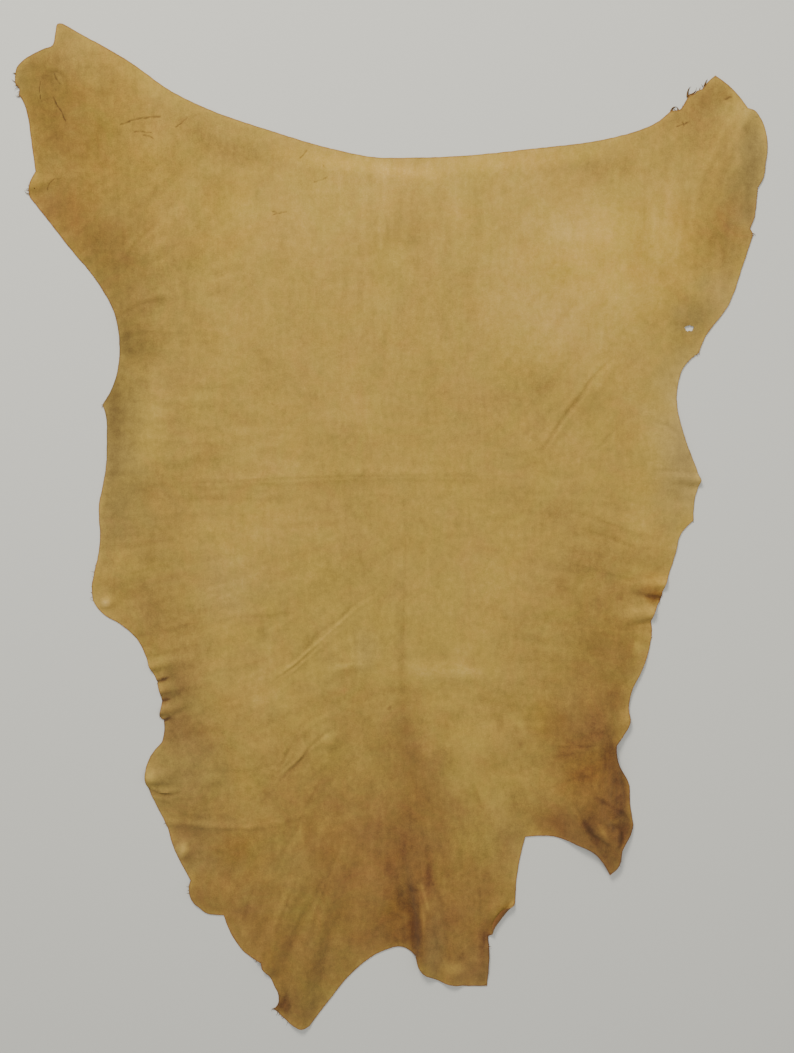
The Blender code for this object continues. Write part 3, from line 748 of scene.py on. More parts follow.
    ("right foreleg edge, shade", 508, 480, 14, 60, 0, -0.2, -0.2),
    ("right belly edge, shade", 425, 130, 26, 70, 0, -0.17, 0),
    ("right flank edge, rust", 388, -50, 26, 28, 0, 0.1, 0.7, -0.2),
    ("right thigh, rust", 228, -258, 36, 40, 0, 0, 0.4, -0.2),
    ("right thigh, rust low", 237, -325, 26, 30, 0, -0.1, 0.4),
    ("rump notch, olive", 200, -420, 32, 26, 0, 0, -0.4),
    ("left thigh fan, bare", -232, -578, 24, 24, 0, 0.16, 0),
    ("left belly edge, high", -412, 195, 18, 28, 0, 0.33, 0),
    ("left belly edge, low", -424, 55, 15, 48, 0, 0.17, 0),
    ("left flank ridge shade", -256, -46, 18, 14, 0, -0.14, 0),
    ("rump shade, small", 68, -285, 22, 18, 0, -0.13, 0),
    # Painted highlight along the right end of the neck edge.
    ("neck edge, far right", 318, 588, 36, 12, 8, 0.2, 0),
    ("back bloom, small", 44, 27, 18, 18, 0, 0.13, 0),
    ("left of the fold, bare", -120, -185, 45, 25, 0, 0.25, 0),
    ("right of the fold, bare", 108, -165, 32, 36, 0, 0.38, 0),
    ("backbone at the neck", 22, 495, 40, 60, 0, -0.32, 0.1),
    ("left of the neck", -219, 575, 71, 24, -14, -0.3, 0.1),
    ("right of the neck", 281, 550, 76, 19, 4, -0.25, 0.1),
    ("left foreleg", -483, 645, 40, 66, 0, -0.22, 0.1, -0.15),
    ("left foreleg corner", -422, 455, 74, 29, -48, -0.17, 0.3, -0.1),
    ("left armpit", -364, 322, 47, 56, 0, -0.35, 0.2),
    ("left belly shade", -408, 192, 18, 118, 0, -0.62, -0.6),
    ("left belly, low shade", -418, 52, 21, 74, 0, -0.2, -0.3),
    ("right shoulder", 106, 398, 62, 44, 0, -0.12, 0),
    ("right ribs", 214, 241, 91, 47, 10, -0.2, 0.1),
    ("right foreleg", 478, 484, 50, 88, 0, -0.32, 0.3),
    ("right foreleg rim", 511, 561, 18, 88, 0, -0.35, -0.5),
    ("right armpit", 432, 339, 41, 44, 0, -0.45, 0.2),
    ("right foreleg top", 448, 655, 34, 16, 20, -0.35, 0.4),
    # Painted shade in the right dimple, with a shift of colour.
    ("right dimple", 390, -70, 17, 11, 15, -0.9, 0.5, -0.4),
    ("right flank", 303, -30, 68, 59, 0, -0.3, 0.1),
    ("right thigh", 297, -143, 59, 94, 0, -0.28, 0.2),
    ("above the notch", 317, -260, 44, 53, 0, -0.2, 0.1),
    ("right hind leg", 318, -368, 64, 104, 0, -0.32, 0.65, -0.1),
    ("right hind leg edge", 338, -335, 16, 75, 14, -0.55, 0.5),
    ("right hind heel", 350, -412, 24, 46, 10, -0.95, 0.4, 0),
    ("right leg crease shade, inner", 299, -427, 8, 30, 30, -0.55, 0.3),
    ("right leg crease shade, outer", 316, -379, 20, 6, -32, -0.4, 0.2),
    ("right leg crease shade, heel", 345, -400, 12, 8, -40, -0.3, 0.1),
    # Painted highlight on the ridge between the right leg's creases.
    ("right leg, between the creases", 318, -426, 7, 16, 25, 0.35, 0),
    ("rump on the backbone", 20, -270, 34, 80, 0, -0.3, 0.5),
    ("rump middle", 46, -340, 45, 72, 0, -0.27, 0.35),
    ("above the tail", 12, -470, 50, 50, 0, 0.03, 0.35),
    ("tail", 34, -580, 15, 60, 4, -0.56, 0.4, -0.2),
    # Painted shade in the creases of the pleats.
    ("pleat, upper", -343, -195, 13, 4, 20, -1.25, 0.5),
    ("pleat, middle", -340, -226, 11, 4, 15, -1.1, 0.5),
    ("pleat, lower", -339, -256, 9, 4, 20, -1.1, 0.5),
    ("tail, broad", 20, -560, 48, 85, 0, -0.46, 0.3, -0.1),
    ("tail, right strip", 54, -495, 9, 42, 0, -0.3, 0.3),
    ("below the pleats", -307, -281, 47, 41, 0, -0.3, 0.5),
    ("left thigh", -291, -397, 59, 44, 0, -0.3, 0.5),
    ("left loin", -59, 75, 68, 88, 0, -0.1, 0),
    ("left rump", -131, -416, 35, 79, 30, -0.12, 0.3),
    ("left hind leg", -148, -581, 19, 71, 20, 0.05, -0.2),
    ("left hind leg tip", -170, -708, 16, 21, 0, -0.8, 0.5, -0.2),
    ("left thigh lobe", -275, -521, 44, 29, 0, -0.08, 0.8),
    ("right foreleg, smudge", 472, 646, 9, 4, 20, -0.5, 0),
    ("right foreleg, dark fold", 498, 608, 9, 16, 0, -0.3, -0.2),
    ("rump corner", 146, -604, 20, 40, 0, -0.3, 0.3),
    ("left belly end", -356, -75, 44, 29, 0, -0.25, 0.1),
    ("left flank edge", -375, -135, 41, 21, -30, -0.35, 0.2),
    ("rump side", 171, -460, 24, 44, 0, -0.1, 0.2),
    ("tail arch", -12, -596, 44, 21, 0, -0.2, 0.3),
    # Painted highlight: a pale band along the neck edge, with some shift of colour.
    ("neck edge", -40, 553, 130, 14, -8, 0.68, 0.2, -0.5),
    ("neck edge, right", 150, 558, 180, 16, 5, 0.52, 0.2, -0.3),
    ("upper left edge", -372, 682, 91, 12, -34, 0.25, 0),
    ("left shoulder", -157, 483, 97, 53, 0, 0.2, 0),
    ("right shoulder blade", 280, 468, 72, 48, 0, 0.42, 0),
    ("right shoulder, low", 316, 376, 68, 41, 0, 0.25, 0),
    ("left belly, bare", -348, 192, 26, 76, 0, 0.4, -0.2),
    ("right armpit, inner", 383, 463, 29, 71, 0, 0.25, 0),
    ("right belly", 379, 151, 26, 82, 0, 0.1, -0.1),
    # Painted highlight: pale bands along the ridge of the storage fold over the rump.
    ("rump storage fold", 71, -184, 132, 15, 0, 0.35, 0),
    ("rump storage fold, pale line", -82, -175, 58, 6, 10, 0.32, -0.5),
    ("left rump, rubbed", -95, -283, 17, 7, 25, 0.42, -0.5),
    ("left rump, pale streak", -134, -418, 8, 36, -18, 0.3, -0.2),
    ("right rump, rubbed", 190, -264, 22, 8, -58, 0.4, -0.3),
    # Painted highlight on the knob of the right hind leg.
    ("right leg knob", 334, -430, 8, 6, -20, 0.3, 0.1),
    ("right leg, pale patch", 291, -371, 10, 7, 0, 0.1, 0),
    ("right leg, pale strip", 304, -351, 6, 22, 6, 0.22, 0),
    ("tail, pale streak", 49, -530, 4, 30, 14, 0.4, 0),
    # Painted highlight on a bump of the right thigh.
    ("right thigh, pale bump", 362, -145, 7, 12, 0, 0.5, -0.5),
    ("rump, right", 128, -227, 79, 35, 0, 0.06, 0),
    ("rump, right low", 125, -312, 47, 82, 0, 0.4, 0),
    ("left flank, inner", -228, -9, 82, 41, 0, 0.08, 0),
    ("left loin, low", -204, -227, 85, 41, 10, 0.1, 0),
    ("left rump, bare", -187, -335, 71, 50, 0, 0.02, 0),
    ("right loin", 159, -75, 85, 68, 0, 0.15, 0),
    # Painted highlights on the rump end, the left thigh and belly bumps, and the left thigh roll.
    ("rump end", 95, -648, 22, 11, 0, 0.5, -0.2),
    ("left thigh bump", -318, -457, 10, 13, 0, 0.9, -0.3),
    ("left belly bump", -423, -78, 10, 9, 0, 0.9, -0.2),
    ("left thigh roll", -362, -346, 9, 18, 0, 0.58, -0.3),
    ("right thigh edge", 368, -135, 13, 26, 0, 0.27, -0.3),
    ("right foreleg end", 489, 627, 29, 21, 0, 0.3, -0.2),
    ("left foreleg corner, bare", -495, 533, 26, 12, 15, 0.25, -0.1),
    ("left rump, low", -95, -413, 53, 50, 0, 0.12, 0),
    ("left shoulder, low", -240, 319, 35, 56, 0, 0.2, 0),
    ("ribs", -61, 232, 44, 56, 0, 0.18, 0),
    ("rump side, bare", 162, -382, 32, 59, 0, 0.2, -0.1),
    ("left neck", -329, 589, 44, 35, 0, 0.2, 0),
    ("right belly low", 364, 45, 29, 44, 0, 0.2, 0),
    ("right leg inner", 253, -400, 44, 29, 0, 0, 0.1),
    ("right thigh notch", 348, -245, 9, 18, 0, 0.12, 0.2),
    # Painted highlight along the tail ridge.
    ("tail ridge", 49, -548, 7, 41, -4, 0.12, 0),
))

SCARS: tuple[Scar, ...] = tuple(Scar(*row) for row in (
    ("long, left neck", 2.2, ((-384, 610), (-371, 615), (-352, 619), (-328, 621))),
    ("short, left neck", 1.6, ((-365, 600), (-355, 600), (-341, 599))),
    ("shorter, left neck", 1.4, ((-353, 595), (-345, 594), (-338, 590))),
    ("left foreleg, long", 1.6, ((-477, 646), (-472, 635), (-466, 626), (-461, 615))),
    ("left foreleg, short", 1.4, ((-475, 678), (-471, 669), (-468, 664))),
    ("left foreleg, faint", 1.1, ((-496, 669), (-498, 658), (-496, 644))),
    ("left foreleg, curved", 1.1, ((-491, 519), (-488, 528), (-480, 534), (-469, 536))),
    ("left neck, slanted", 1.5, ((-306, 606), (-297, 612), (-290, 619))),
    ("neck, upper", 1.8, ((-130, 564), (-124, 571), (-121, 575))),
    ("neck, lower", 2.2, ((-111, 530), (-102, 533), (-94, 536))),
    ("neck, short", 1.5, ((-96, 551), (-98, 554))),
    ("shoulder, upper", 1.5, ((-170, 489), (-163, 487), (-151, 488))),
    ("shoulder, lower", 1.3, ((-170, 484), (-164, 486))),
    ("right foreleg", 1.8, ((403, 606), (411, 610), (419, 613))),
    ("right foreleg, crossed", 1.5, ((410, 613), (412, 610), (413, 607))),
    ("right foreleg, short", 1.5, ((415, 613), (420, 612))),
    ("right foreleg tip", 2.0, ((470, 644), (475, 647), (479, 648))),
    ("right foreleg end, speck", 1.8, ((493, 629), (497, 631))),
    ("right foreleg end, second speck", 1.6, ((513, 620), (516, 620))),
    ("left loin speck", 1.8, ((-175, 216), (-173, 214))),
))

ROLLS: tuple[Roll, ...] = (
    Roll("rump rolled edge", (185, -534), (141, -595), 4.4),
)

SHREDS: tuple[Shred, ...] = tuple(Shred(*row) for row in (
    ("right foreleg, long curl", 1.9, ((417, 647), (417, 655), (419, 660), (421, 662))),
    ("right foreleg, low curl", 1.5, ((418, 649), (424, 652), (428, 656), (429, 661))),
    ("right foreleg, high curl", 1.5, ((440, 662), (442, 668), (444, 672))),
    ("right foreleg nick, curl", 1.6, ((394, 628), (399, 634), (403, 633), (402, 629))),
    ("right foreleg nick, small curl", 1.4, ((404, 627), (404, 631), (400, 635))),
    ("left foreleg, thorn", 1.7, ((-508, 522), (-513, 521), (-521, 520))),
    ("left foreleg, upper curl", 0.9, ((-529, 679), (-534, 680), (-536, 677))),
    ("left foreleg, middle curl", 0.8, ((-527, 662), (-532, 663), (-534, 661))),
    ("left foreleg, lower curl", 0.9, ((-525, 649), (-530, 648), (-532, 650))),
))

FRAYS: tuple[Fray, ...] = tuple(Fray(*row) for row in (
    ("left foreleg side", (-531, 680), (-525, 648), 7, 8, 185),
    ("left foreleg nick", (-516, 526), (-517, 512), 3, 9, 185),
    ("left belly", (-423, 215), (-421, 208), 2, 5, 180),
    ("left flank", (-438, -20), (-443, -80), 8, 6, 180),
    ("left pleats", (-353, -194), (-346, -262), 3, 4, 185),
    ("left thigh", (-344, -415), (-343, -424), 1, 4, 180),
    ("left thigh lobe", (-311, -515), (-309, -532), 3, 5, 185),
    ("left hind leg nick", (-216, -639), (-200, -636), 3, 5, 250),
    ("left hind leg end", (-188, -712), (-163, -737), 7, 7, 225),
    ("rump corner", (148, -599), (148, -616), 4, 5, -10),
    ("right hind leg", (346, -474), (342, -484), 2, 5, -10),
    ("right thigh", (384, -130), (384, -140), 1, 4, 0),
    ("right belly", (442, 46), (441, 38), 1, 4, 0),
    ("right armpit", (449, 292), (427, 274), 4, 6, -50),
    ("right foreleg side", (516, 462), (516, 448), 3, 6, 0),
    ("right foreleg top", (416, 646), (446, 668), 5, 7, 120),
    ("right foreleg nick", (396, 629), (410, 634), 2, 6, 110),
))


# ---- Nodes and finishes ----


def linear(colour: int) -> tuple[float, float, float, float]:
    """Turns an sRGB hex colour into the linear values that shaders take."""
    channels = [((colour >> shift) & 255) / 255 for shift in (16, 8, 0)]
    red, green, blue = (
        c / 12.92 if c <= 0.04045 else ((c + 0.055) / 1.055) ** 2.4 for c in channels)
    return red, green, blue, 1.0


def wire(tree: bpy.types.NodeTree, node: bpy.types.Node, inputs: dict[str | int, object]) -> None:
    """Gives a node its values and links.

    Args:
        tree: the material's node tree.
        node: the node.
        inputs: a value or another node's output for each input, by its name or number.
    """
    for name, value in inputs.items():
        if isinstance(value, bpy.types.NodeSocket):
            tree.links.new(value, node.inputs[name])
        else:
            node.inputs[name].default_value = value


def add_node(
    tree: bpy.types.NodeTree, kind: str, inputs: dict[str | int, object], **settings: object
) -> bpy.types.Node:
    """Adds a node with its settings, values and links.

    Args:
        tree: the material's node tree.
        kind: the node's type.
        inputs: a value or another node's output for each input, by its name or number.
        settings: the node's own properties.

    Returns:
        The new node.
    """
    node = tree.nodes.new(kind)
    for name, value in settings.items():
        setattr(node, name, value)
    wire(tree, node, inputs)
    return node


def new_material(
    name: str
) -> tuple[bpy.types.Material, bpy.types.NodeTree, bpy.types.Node, bpy.types.NodeSocket]:
    """A new material, its node tree, its shader, and the place on the piece in metres."""
    material = bpy.data.materials.new(name)
    material.use_nodes = True
    tree = material.node_tree
    place = add_node(tree, "ShaderNodeTexCoord", {}).outputs["Object"]
    return material, tree, tree.nodes["Principled BSDF"], place


def weighted_sum(
    tree: bpy.types.NodeTree, start: float, terms: list[tuple[bpy.types.NodeSocket, float]]
) -> bpy.types.NodeSocket:
    """Adds up several patterns, each with its own weight.

    Args:
        tree: the material's node tree.
        start: what the sum starts from.
        terms: each pattern's output and its weight.

    Returns:
        The output that carries the sum.
    """
    total: bpy.types.NodeSocket | float = start
    for output, weight in terms:
        total = add_node(
            tree, "ShaderNodeMath", {0: output, 1: weight, 2: total}, operation="MULTIPLY_ADD"
        ).outputs[0]
    return total


def fill_ramp(ramp: bpy.types.ColorRamp, stops: Stops) -> None:
    """Sets a colour ramp's stops, each a place from 0 to 1 and a hex colour."""
    while len(ramp.elements) < len(stops):
        ramp.elements.new(1.0)
    for element, (place, colour) in zip(ramp.elements, stops):
        element.position = place
        element.color = linear(colour)


@dataclass(frozen=True)
class BrushedDeerskin:
    """Smoke-tanned deerskin, sueded on its outer face.

    The brushing leaves a matt nap with a pale bloom at grazing light, and the tanning smoke a
    cloudy mottle that drifts between khaki and rust. The paint names are the values that the mesh
    holds at its points.
    """

    khaki: Stops = (
        (0.0, 0x33240A), (0.2, 0x584010), (0.44, 0x83691A), (0.64, 0xA88929), (0.82, 0xBF9D42),
        (1.0, 0xDEBA67))
    rust: Stops = (
        (0.0, 0x371A08), (0.2, 0x5C300F), (0.44, 0x8C5818), (0.64, 0xB07E28), (0.82, 0xC59344),
        (1.0, 0xDFB271))
    dust: Stops = (
        (0.0, 0x503C2A), (0.2, 0x806A4E), (0.44, 0xAA9474), (0.64, 0xBCA583), (1.0, 0xDCCAA8))
    paint: tuple[str, ...] = ("tone", "streak", "rim", "ochre", "dust")
    cloud_size: float = 110.0
    mottle_size: float = 34.0
    smoke_size: float = 71.4
    dust_size: float = 75.0
    fleck_size: float = 9.0
    nap_size: float = 1.8
    grain: float = 0.68
    brush_size: float = 6.0
    brush_squeeze: float = 0.22  # the strokes are about five times as long as wide
    # Where the painted shade line along the cut edge starts and is full, as shares of the rim.
    rim_line: tuple[float, float] = (0.78, 0.95)  # from 0 off the edge to 1 on it
    nap_height: float = 0.25
    nap_strength: float = 0.6
    roughness: float = 0.88
    specular: float = 0.25
    sheen: float = 0.22
    sheen_roughness: float = 0.55
    sheen_tint: int = 0xE8D8B0

    def material(self) -> bpy.types.Material:
        """The material, whose patterns lie on the skin's own place."""
        material, tree, shader, place = new_material("brushed_smoke_tanned_deerskin")
        clouds, mottle, smoke, dusty, flecks, nap = (
            add_node(
                tree, "ShaderNodeTexNoise",
                {"Vector": place, "Scale": 1 / (size * MM), "Detail": detail,
                 "Roughness": self.grain, "Distortion": distortion}).outputs[0]
            for size, detail, distortion in (
                (self.cloud_size, 5, 0.6), (self.mottle_size, 6, 0.4), (self.smoke_size, 4, 1.2),
                (self.dust_size, 3, 0.3), (self.fleck_size, 4, 0.2), (self.nap_size, 3, 0.0)))
        combed = add_node(
            tree, "ShaderNodeMapping",
            {"Vector": place, "Scale": (1.0, self.brush_squeeze, 1.0)}).outputs[0]
        brushing = add_node(
            tree, "ShaderNodeTexNoise",
            {"Vector": combed, "Scale": 1 / (self.brush_size * MM), "Detail": 3.0}).outputs[0]
        painted_tone, streak, rim, ochre, dust = (
            add_node(tree, "ShaderNodeAttribute", {}, attribute_name=name).outputs["Fac"]
            for name in self.paint)
        # Painted shade and painted highlight along the cut edge: line darkens and reddens the
        # outermost band, standing in for the shade of the edge's cut face, and rim lightens the
        # band just inside it.
        line = add_node(
            tree, "ShaderNodeMapRange",
            {"Value": rim, "From Min": self.rim_line[0], "From Max": self.rim_line[1]}).outputs[0]
        tone = weighted_sum(tree, 0.077, [
            (painted_tone, 0.266), (streak, 0.03), (rim, 0.06), (line, -0.17), (clouds, 0.16),
            (mottle, 0.18), (flecks, 0.26), (brushing, 0.11), (nap, 0.31)])
        shades = []
        for stops in (self.khaki, self.rust, self.dust):
            ramp = add_node(tree, "ShaderNodeValToRGB", {"Fac": tone})
            fill_ramp(ramp.color_ramp, stops)
            shades.append(ramp.outputs[0])
        hue = weighted_sum(tree, -0.61, [(ochre, 0.4), (smoke, 1.2), (flecks, 0.35), (line, 0.5)])
        greyed = weighted_sum(tree, 0.078, [(dusty, 0.11), (dust, 0.2)])
        colour = shades[0]
        for factor, shade in ((hue, shades[1]), (greyed, shades[2])):
            colour = add_node(
                tree, "ShaderNodeMix", {"Factor": factor, 6: colour, 7: shade},
                data_type="RGBA", clamp_factor=True).outputs[2]
        bump = add_node(tree, "ShaderNodeBump", {
            "Height": weighted_sum(tree, 0.0, [(nap, 1.0), (flecks, 0.8)]),
            "Strength": self.nap_strength, "Distance": self.nap_height * MM})
        wire(tree, shader, {
            "Base Color": colour, "Normal": bump.outputs[0],
            "Roughness": weighted_sum(tree, self.roughness, [(nap, 0.1), (mottle, -0.06)]),
            "Specular IOR Level": self.specular, "Sheen Weight": self.sheen,
            "Sheen Roughness": self.sheen_roughness, "Sheen Tint": linear(self.sheen_tint)})
        return material


@dataclass(frozen=True)
class CutEdge:
    """The knife-cut edge of the same skin: raw fibre, paler and drier than its face."""

    name: str = "knife_cut_deerskin_edge"
    colour: int = 0xA9824C
    shade: int = 0x6E4B22
    fibre_size: float = 0.9
    fibre_height: float = 0.3
    fibre_strength: float = 0.7
    roughness: float = 0.95
    specular: float = 0.15

    def material(self) -> bpy.types.Material:
        """The material, with fibres about a millimetre thick."""
        material, tree, shader, place = new_material(self.name)
        fibre = add_node(
            tree, "ShaderNodeTexNoise",
            {"Vector": place, "Scale": 1 / (self.fibre_size * MM), "Detail": 3.0}).outputs[0]
        tint = add_node(
            tree, "ShaderNodeMix",
            {"Factor": fibre, 6: linear(self.shade), 7: linear(self.colour)}, data_type="RGBA")
        bump = add_node(tree, "ShaderNodeBump", {
            "Height": fibre, "Strength": self.fibre_strength, "Distance": self.fibre_height * MM})
        wire(tree, shader, {
            "Base Color": tint.outputs[2], "Normal": bump.outputs[0],
            "Roughness": self.roughness, "Specular IOR Level": self.specular})
        return material


@dataclass(frozen=True)
class FleshSide:
    """The inner face of the skin, scraped and smoked: browner, with longer loose fibre.

    The scraping leaves shallow knife strokes across the skin. Its dark colour is partly the smoking
    and partly painted shade, for the curled strip at the rump.
    """

    # Partly painted shade: these colours are darker than the smoked face alone, for the curled
    # strip at the rump.
    colour: int = 0x744C26
    shade: int = 0x502F13
    bare: int = 0x94693C
    mottle_size: float = 45.0
    mottle_grain: float = 0.62
    stroke_size: float = 12.0
    stroke_squeeze: float = 0.25  # the strokes are four times as long as wide
    fibre_size: float = 2.2
    fibre_height: float = 0.35
    fibre_strength: float = 0.7
    roughness: float = 0.95
    specular: float = 0.15
    sheen: float = 0.3
    sheen_roughness: float = 0.6
    sheen_tint: int = 0xE0C49A

    def material(self) -> bpy.types.Material:
        """The material, with its scraping strokes laid across the skin."""
        material, tree, shader, place = new_material("smoked_deerskin_flesh_side")
        stretched = add_node(
            tree, "ShaderNodeMapping",
            {"Vector": place, "Scale": (self.stroke_squeeze, 1.0, 1.0)}).outputs[0]
        mottle = add_node(
            tree, "ShaderNodeTexNoise",
            {"Vector": place, "Scale": 1 / (self.mottle_size * MM), "Detail": 6.0,
             "Roughness": self.mottle_grain, "Distortion": 0.5}).outputs[0]
        stroke, fibre = (
            add_node(
                tree, "ShaderNodeTexNoise",
                {"Vector": laid, "Scale": 1 / (size * MM), "Detail": 3.0}).outputs[0]
            for laid, size in ((stretched, self.stroke_size), (place, self.fibre_size)))
        tone = weighted_sum(tree, -0.1, [(mottle, 0.6), (stroke, 0.3), (fibre, 0.35)])
        ramp = add_node(tree, "ShaderNodeValToRGB", {"Fac": tone})
        fill_ramp(ramp.color_ramp, ((0.2, self.shade), (0.5, self.colour), (0.85, self.bare)))
        bump = add_node(tree, "ShaderNodeBump", {
            "Height": weighted_sum(tree, 0.0, [(fibre, 1.0), (stroke, 1.5)]),
            "Strength": self.fibre_strength, "Distance": self.fibre_height * MM})
        wire(tree, shader, {
            "Base Color": ramp.outputs[0], "Normal": bump.outputs[0],
            "Roughness": self.roughness, "Specular IOR Level": self.specular,
            "Sheen Weight": self.sheen, "Sheen Roughness": self.sheen_roughness,
            "Sheen Tint": linear(self.sheen_tint)})
        return material


@dataclass(frozen=True)
class PaintedFloor:
    """A pale painted studio floor, matt, with a trace of roller texture."""

    colour: int = 0xD0CFC7
    stipple_size: float = 4.0
    stipple_height: float = 0.1
    stipple_strength: float = 0.15
    roughness: float = 0.8

    def material(self) -> bpy.types.Material:
        """The material."""
        material, tree, shader, place = new_material("matt_painted_floor")
        stipple = add_node(
            tree, "ShaderNodeTexNoise",
            {"Vector": place, "Scale": 1 / (self.stipple_size * MM), "Detail": 2.0}).outputs[0]
        bump = add_node(tree, "ShaderNodeBump", {
            "Height": stipple, "Strength": self.stipple_strength,
            "Distance": self.stipple_height * MM})
        wire(tree, shader, {
            "Base Color": linear(self.colour), "Normal": bump.outputs[0],
            "Roughness": self.roughness})
        return material


# ---- Pieces ----


def add_object(name: str, data: bpy.types.ID) -> bpy.types.Object:
    """Puts a new object into the scene."""
    piece = bpy.data.objects.new(name, data)
    bpy.context.scene.collection.objects.link(piece)
    return piece


def finished_mesh(
    name: str, form: bmesh.types.BMesh,
    finishes: tuple[BrushedDeerskin | CutEdge | FleshSide | PaintedFloor, ...]
) -> bpy.types.Mesh:
    """Turns a finished form into a mesh, and frees it.

    Args:
        name: the mesh's name.
        form: the form.
        finishes: the finishes of its material slots, in order.

    Returns:
        The mesh.
    """
    mesh = bpy.data.meshes.new(name)
    form.to_mesh(mesh)
    form.free()
    for finish in finishes:
        mesh.materials.append(finish.material())
    return mesh


# ---- The skin's shape and colouring ----


@dataclass
class Outline:
    """The cut edge of the skin: the knife's smooth runs and the small waver on them."""

    runs: tuple[EdgeRun, ...] = EDGE_RUNS
    solid_middle: tuple[float, float] = (0.875, 0.683)
    step: float = 3.0
    waver: float = 0.45
    waver_size: float = 11.0
    fine_waver: float = 0.5
    fine_waver_size: float = 4.0

    def path(self) -> list[Vector]:
        """The whole edge, as points about a step apart."""
        path: list[Vector] = []
        for before, run in zip([self.runs[-1], *self.runs], self.runs):
            path += smooth_run((before.points[-1], *run.points), self.step)[:-1]
        return path

    def middle(self) -> Vector:
        """The middle of the box round the solid's edge, which the solid is centred on."""
        return Vector((*self.solid_middle, 0))

    def cut_path(self) -> list[Vector]:
        """The edge as it was cut, with the knife's waver across it."""
        path = self.path()
        cut = []
        for before, point, after in zip([path[-1], *path], path, [*path[1:], path[0]]):
            inwards = (after - before).cross(UP).normalized()
            fine = self.fine_waver * noise.noise(point / self.fine_waver_size)
            waver = noise.noise(point / self.waver_size) + fine
            cut.append(point - inwards * waver * self.waver)
        return cut


@dataclass
class Relief:
    """The height of the skin over the surface it lies on.

    Beside each fine crease the skin swings a little the other way, over a few times its width.
    """

    swells: tuple[Swell, ...] = SWELLS
    folds: tuple[Fold, ...] = FOLDS
    creases: tuple[Fold, ...] = CREASES
    settle: float = 1.0
    lift_off: float = 0.25
    unevenness: float = 0.55
    wave: float = 90.0
    wave_rise: float = 0.6
    wave_seed: int = 4
    shoulder: float = 0.7
    shoulder_width: float = 2.6

    def settled(self, height: Values) -> Values:
        """What is left of the heights once the sheet has sunk on to the surface."""
        low, high = height ** 2 / (2 * self.settle), height - self.settle / 2
        return np.where(height <= self.lift_off, 0, np.where(height < self.settle, low, high))

    def heights(self, x: Values, y: Values) -> Values:
        """Heights of the sheet's underside at many places, in millimetres."""
        total = sum(swell.heights(x, y) for swell in self.swells)
        total += sum(fold.heights(x, y) for fold in self.folds)
        waves = layered_cloud(x, y, self.wave, 3, self.wave_seed)
        total += self.unevenness * (self.wave_rise + waves)
        for crease in self.creases:
            shoulders = self.shoulder * crease.heights(x, y, self.shoulder_width)
            total += crease.heights(x, y) - shoulders
        return self.settled(total)

    def creasing(self, x: Values, y: Values) -> Values:
        """How deep the fine creases are at many places, for the grain and for the painted shade and
        highlights along them.
        """
        return sum(crease.heights(x, y) for crease in self.creases)


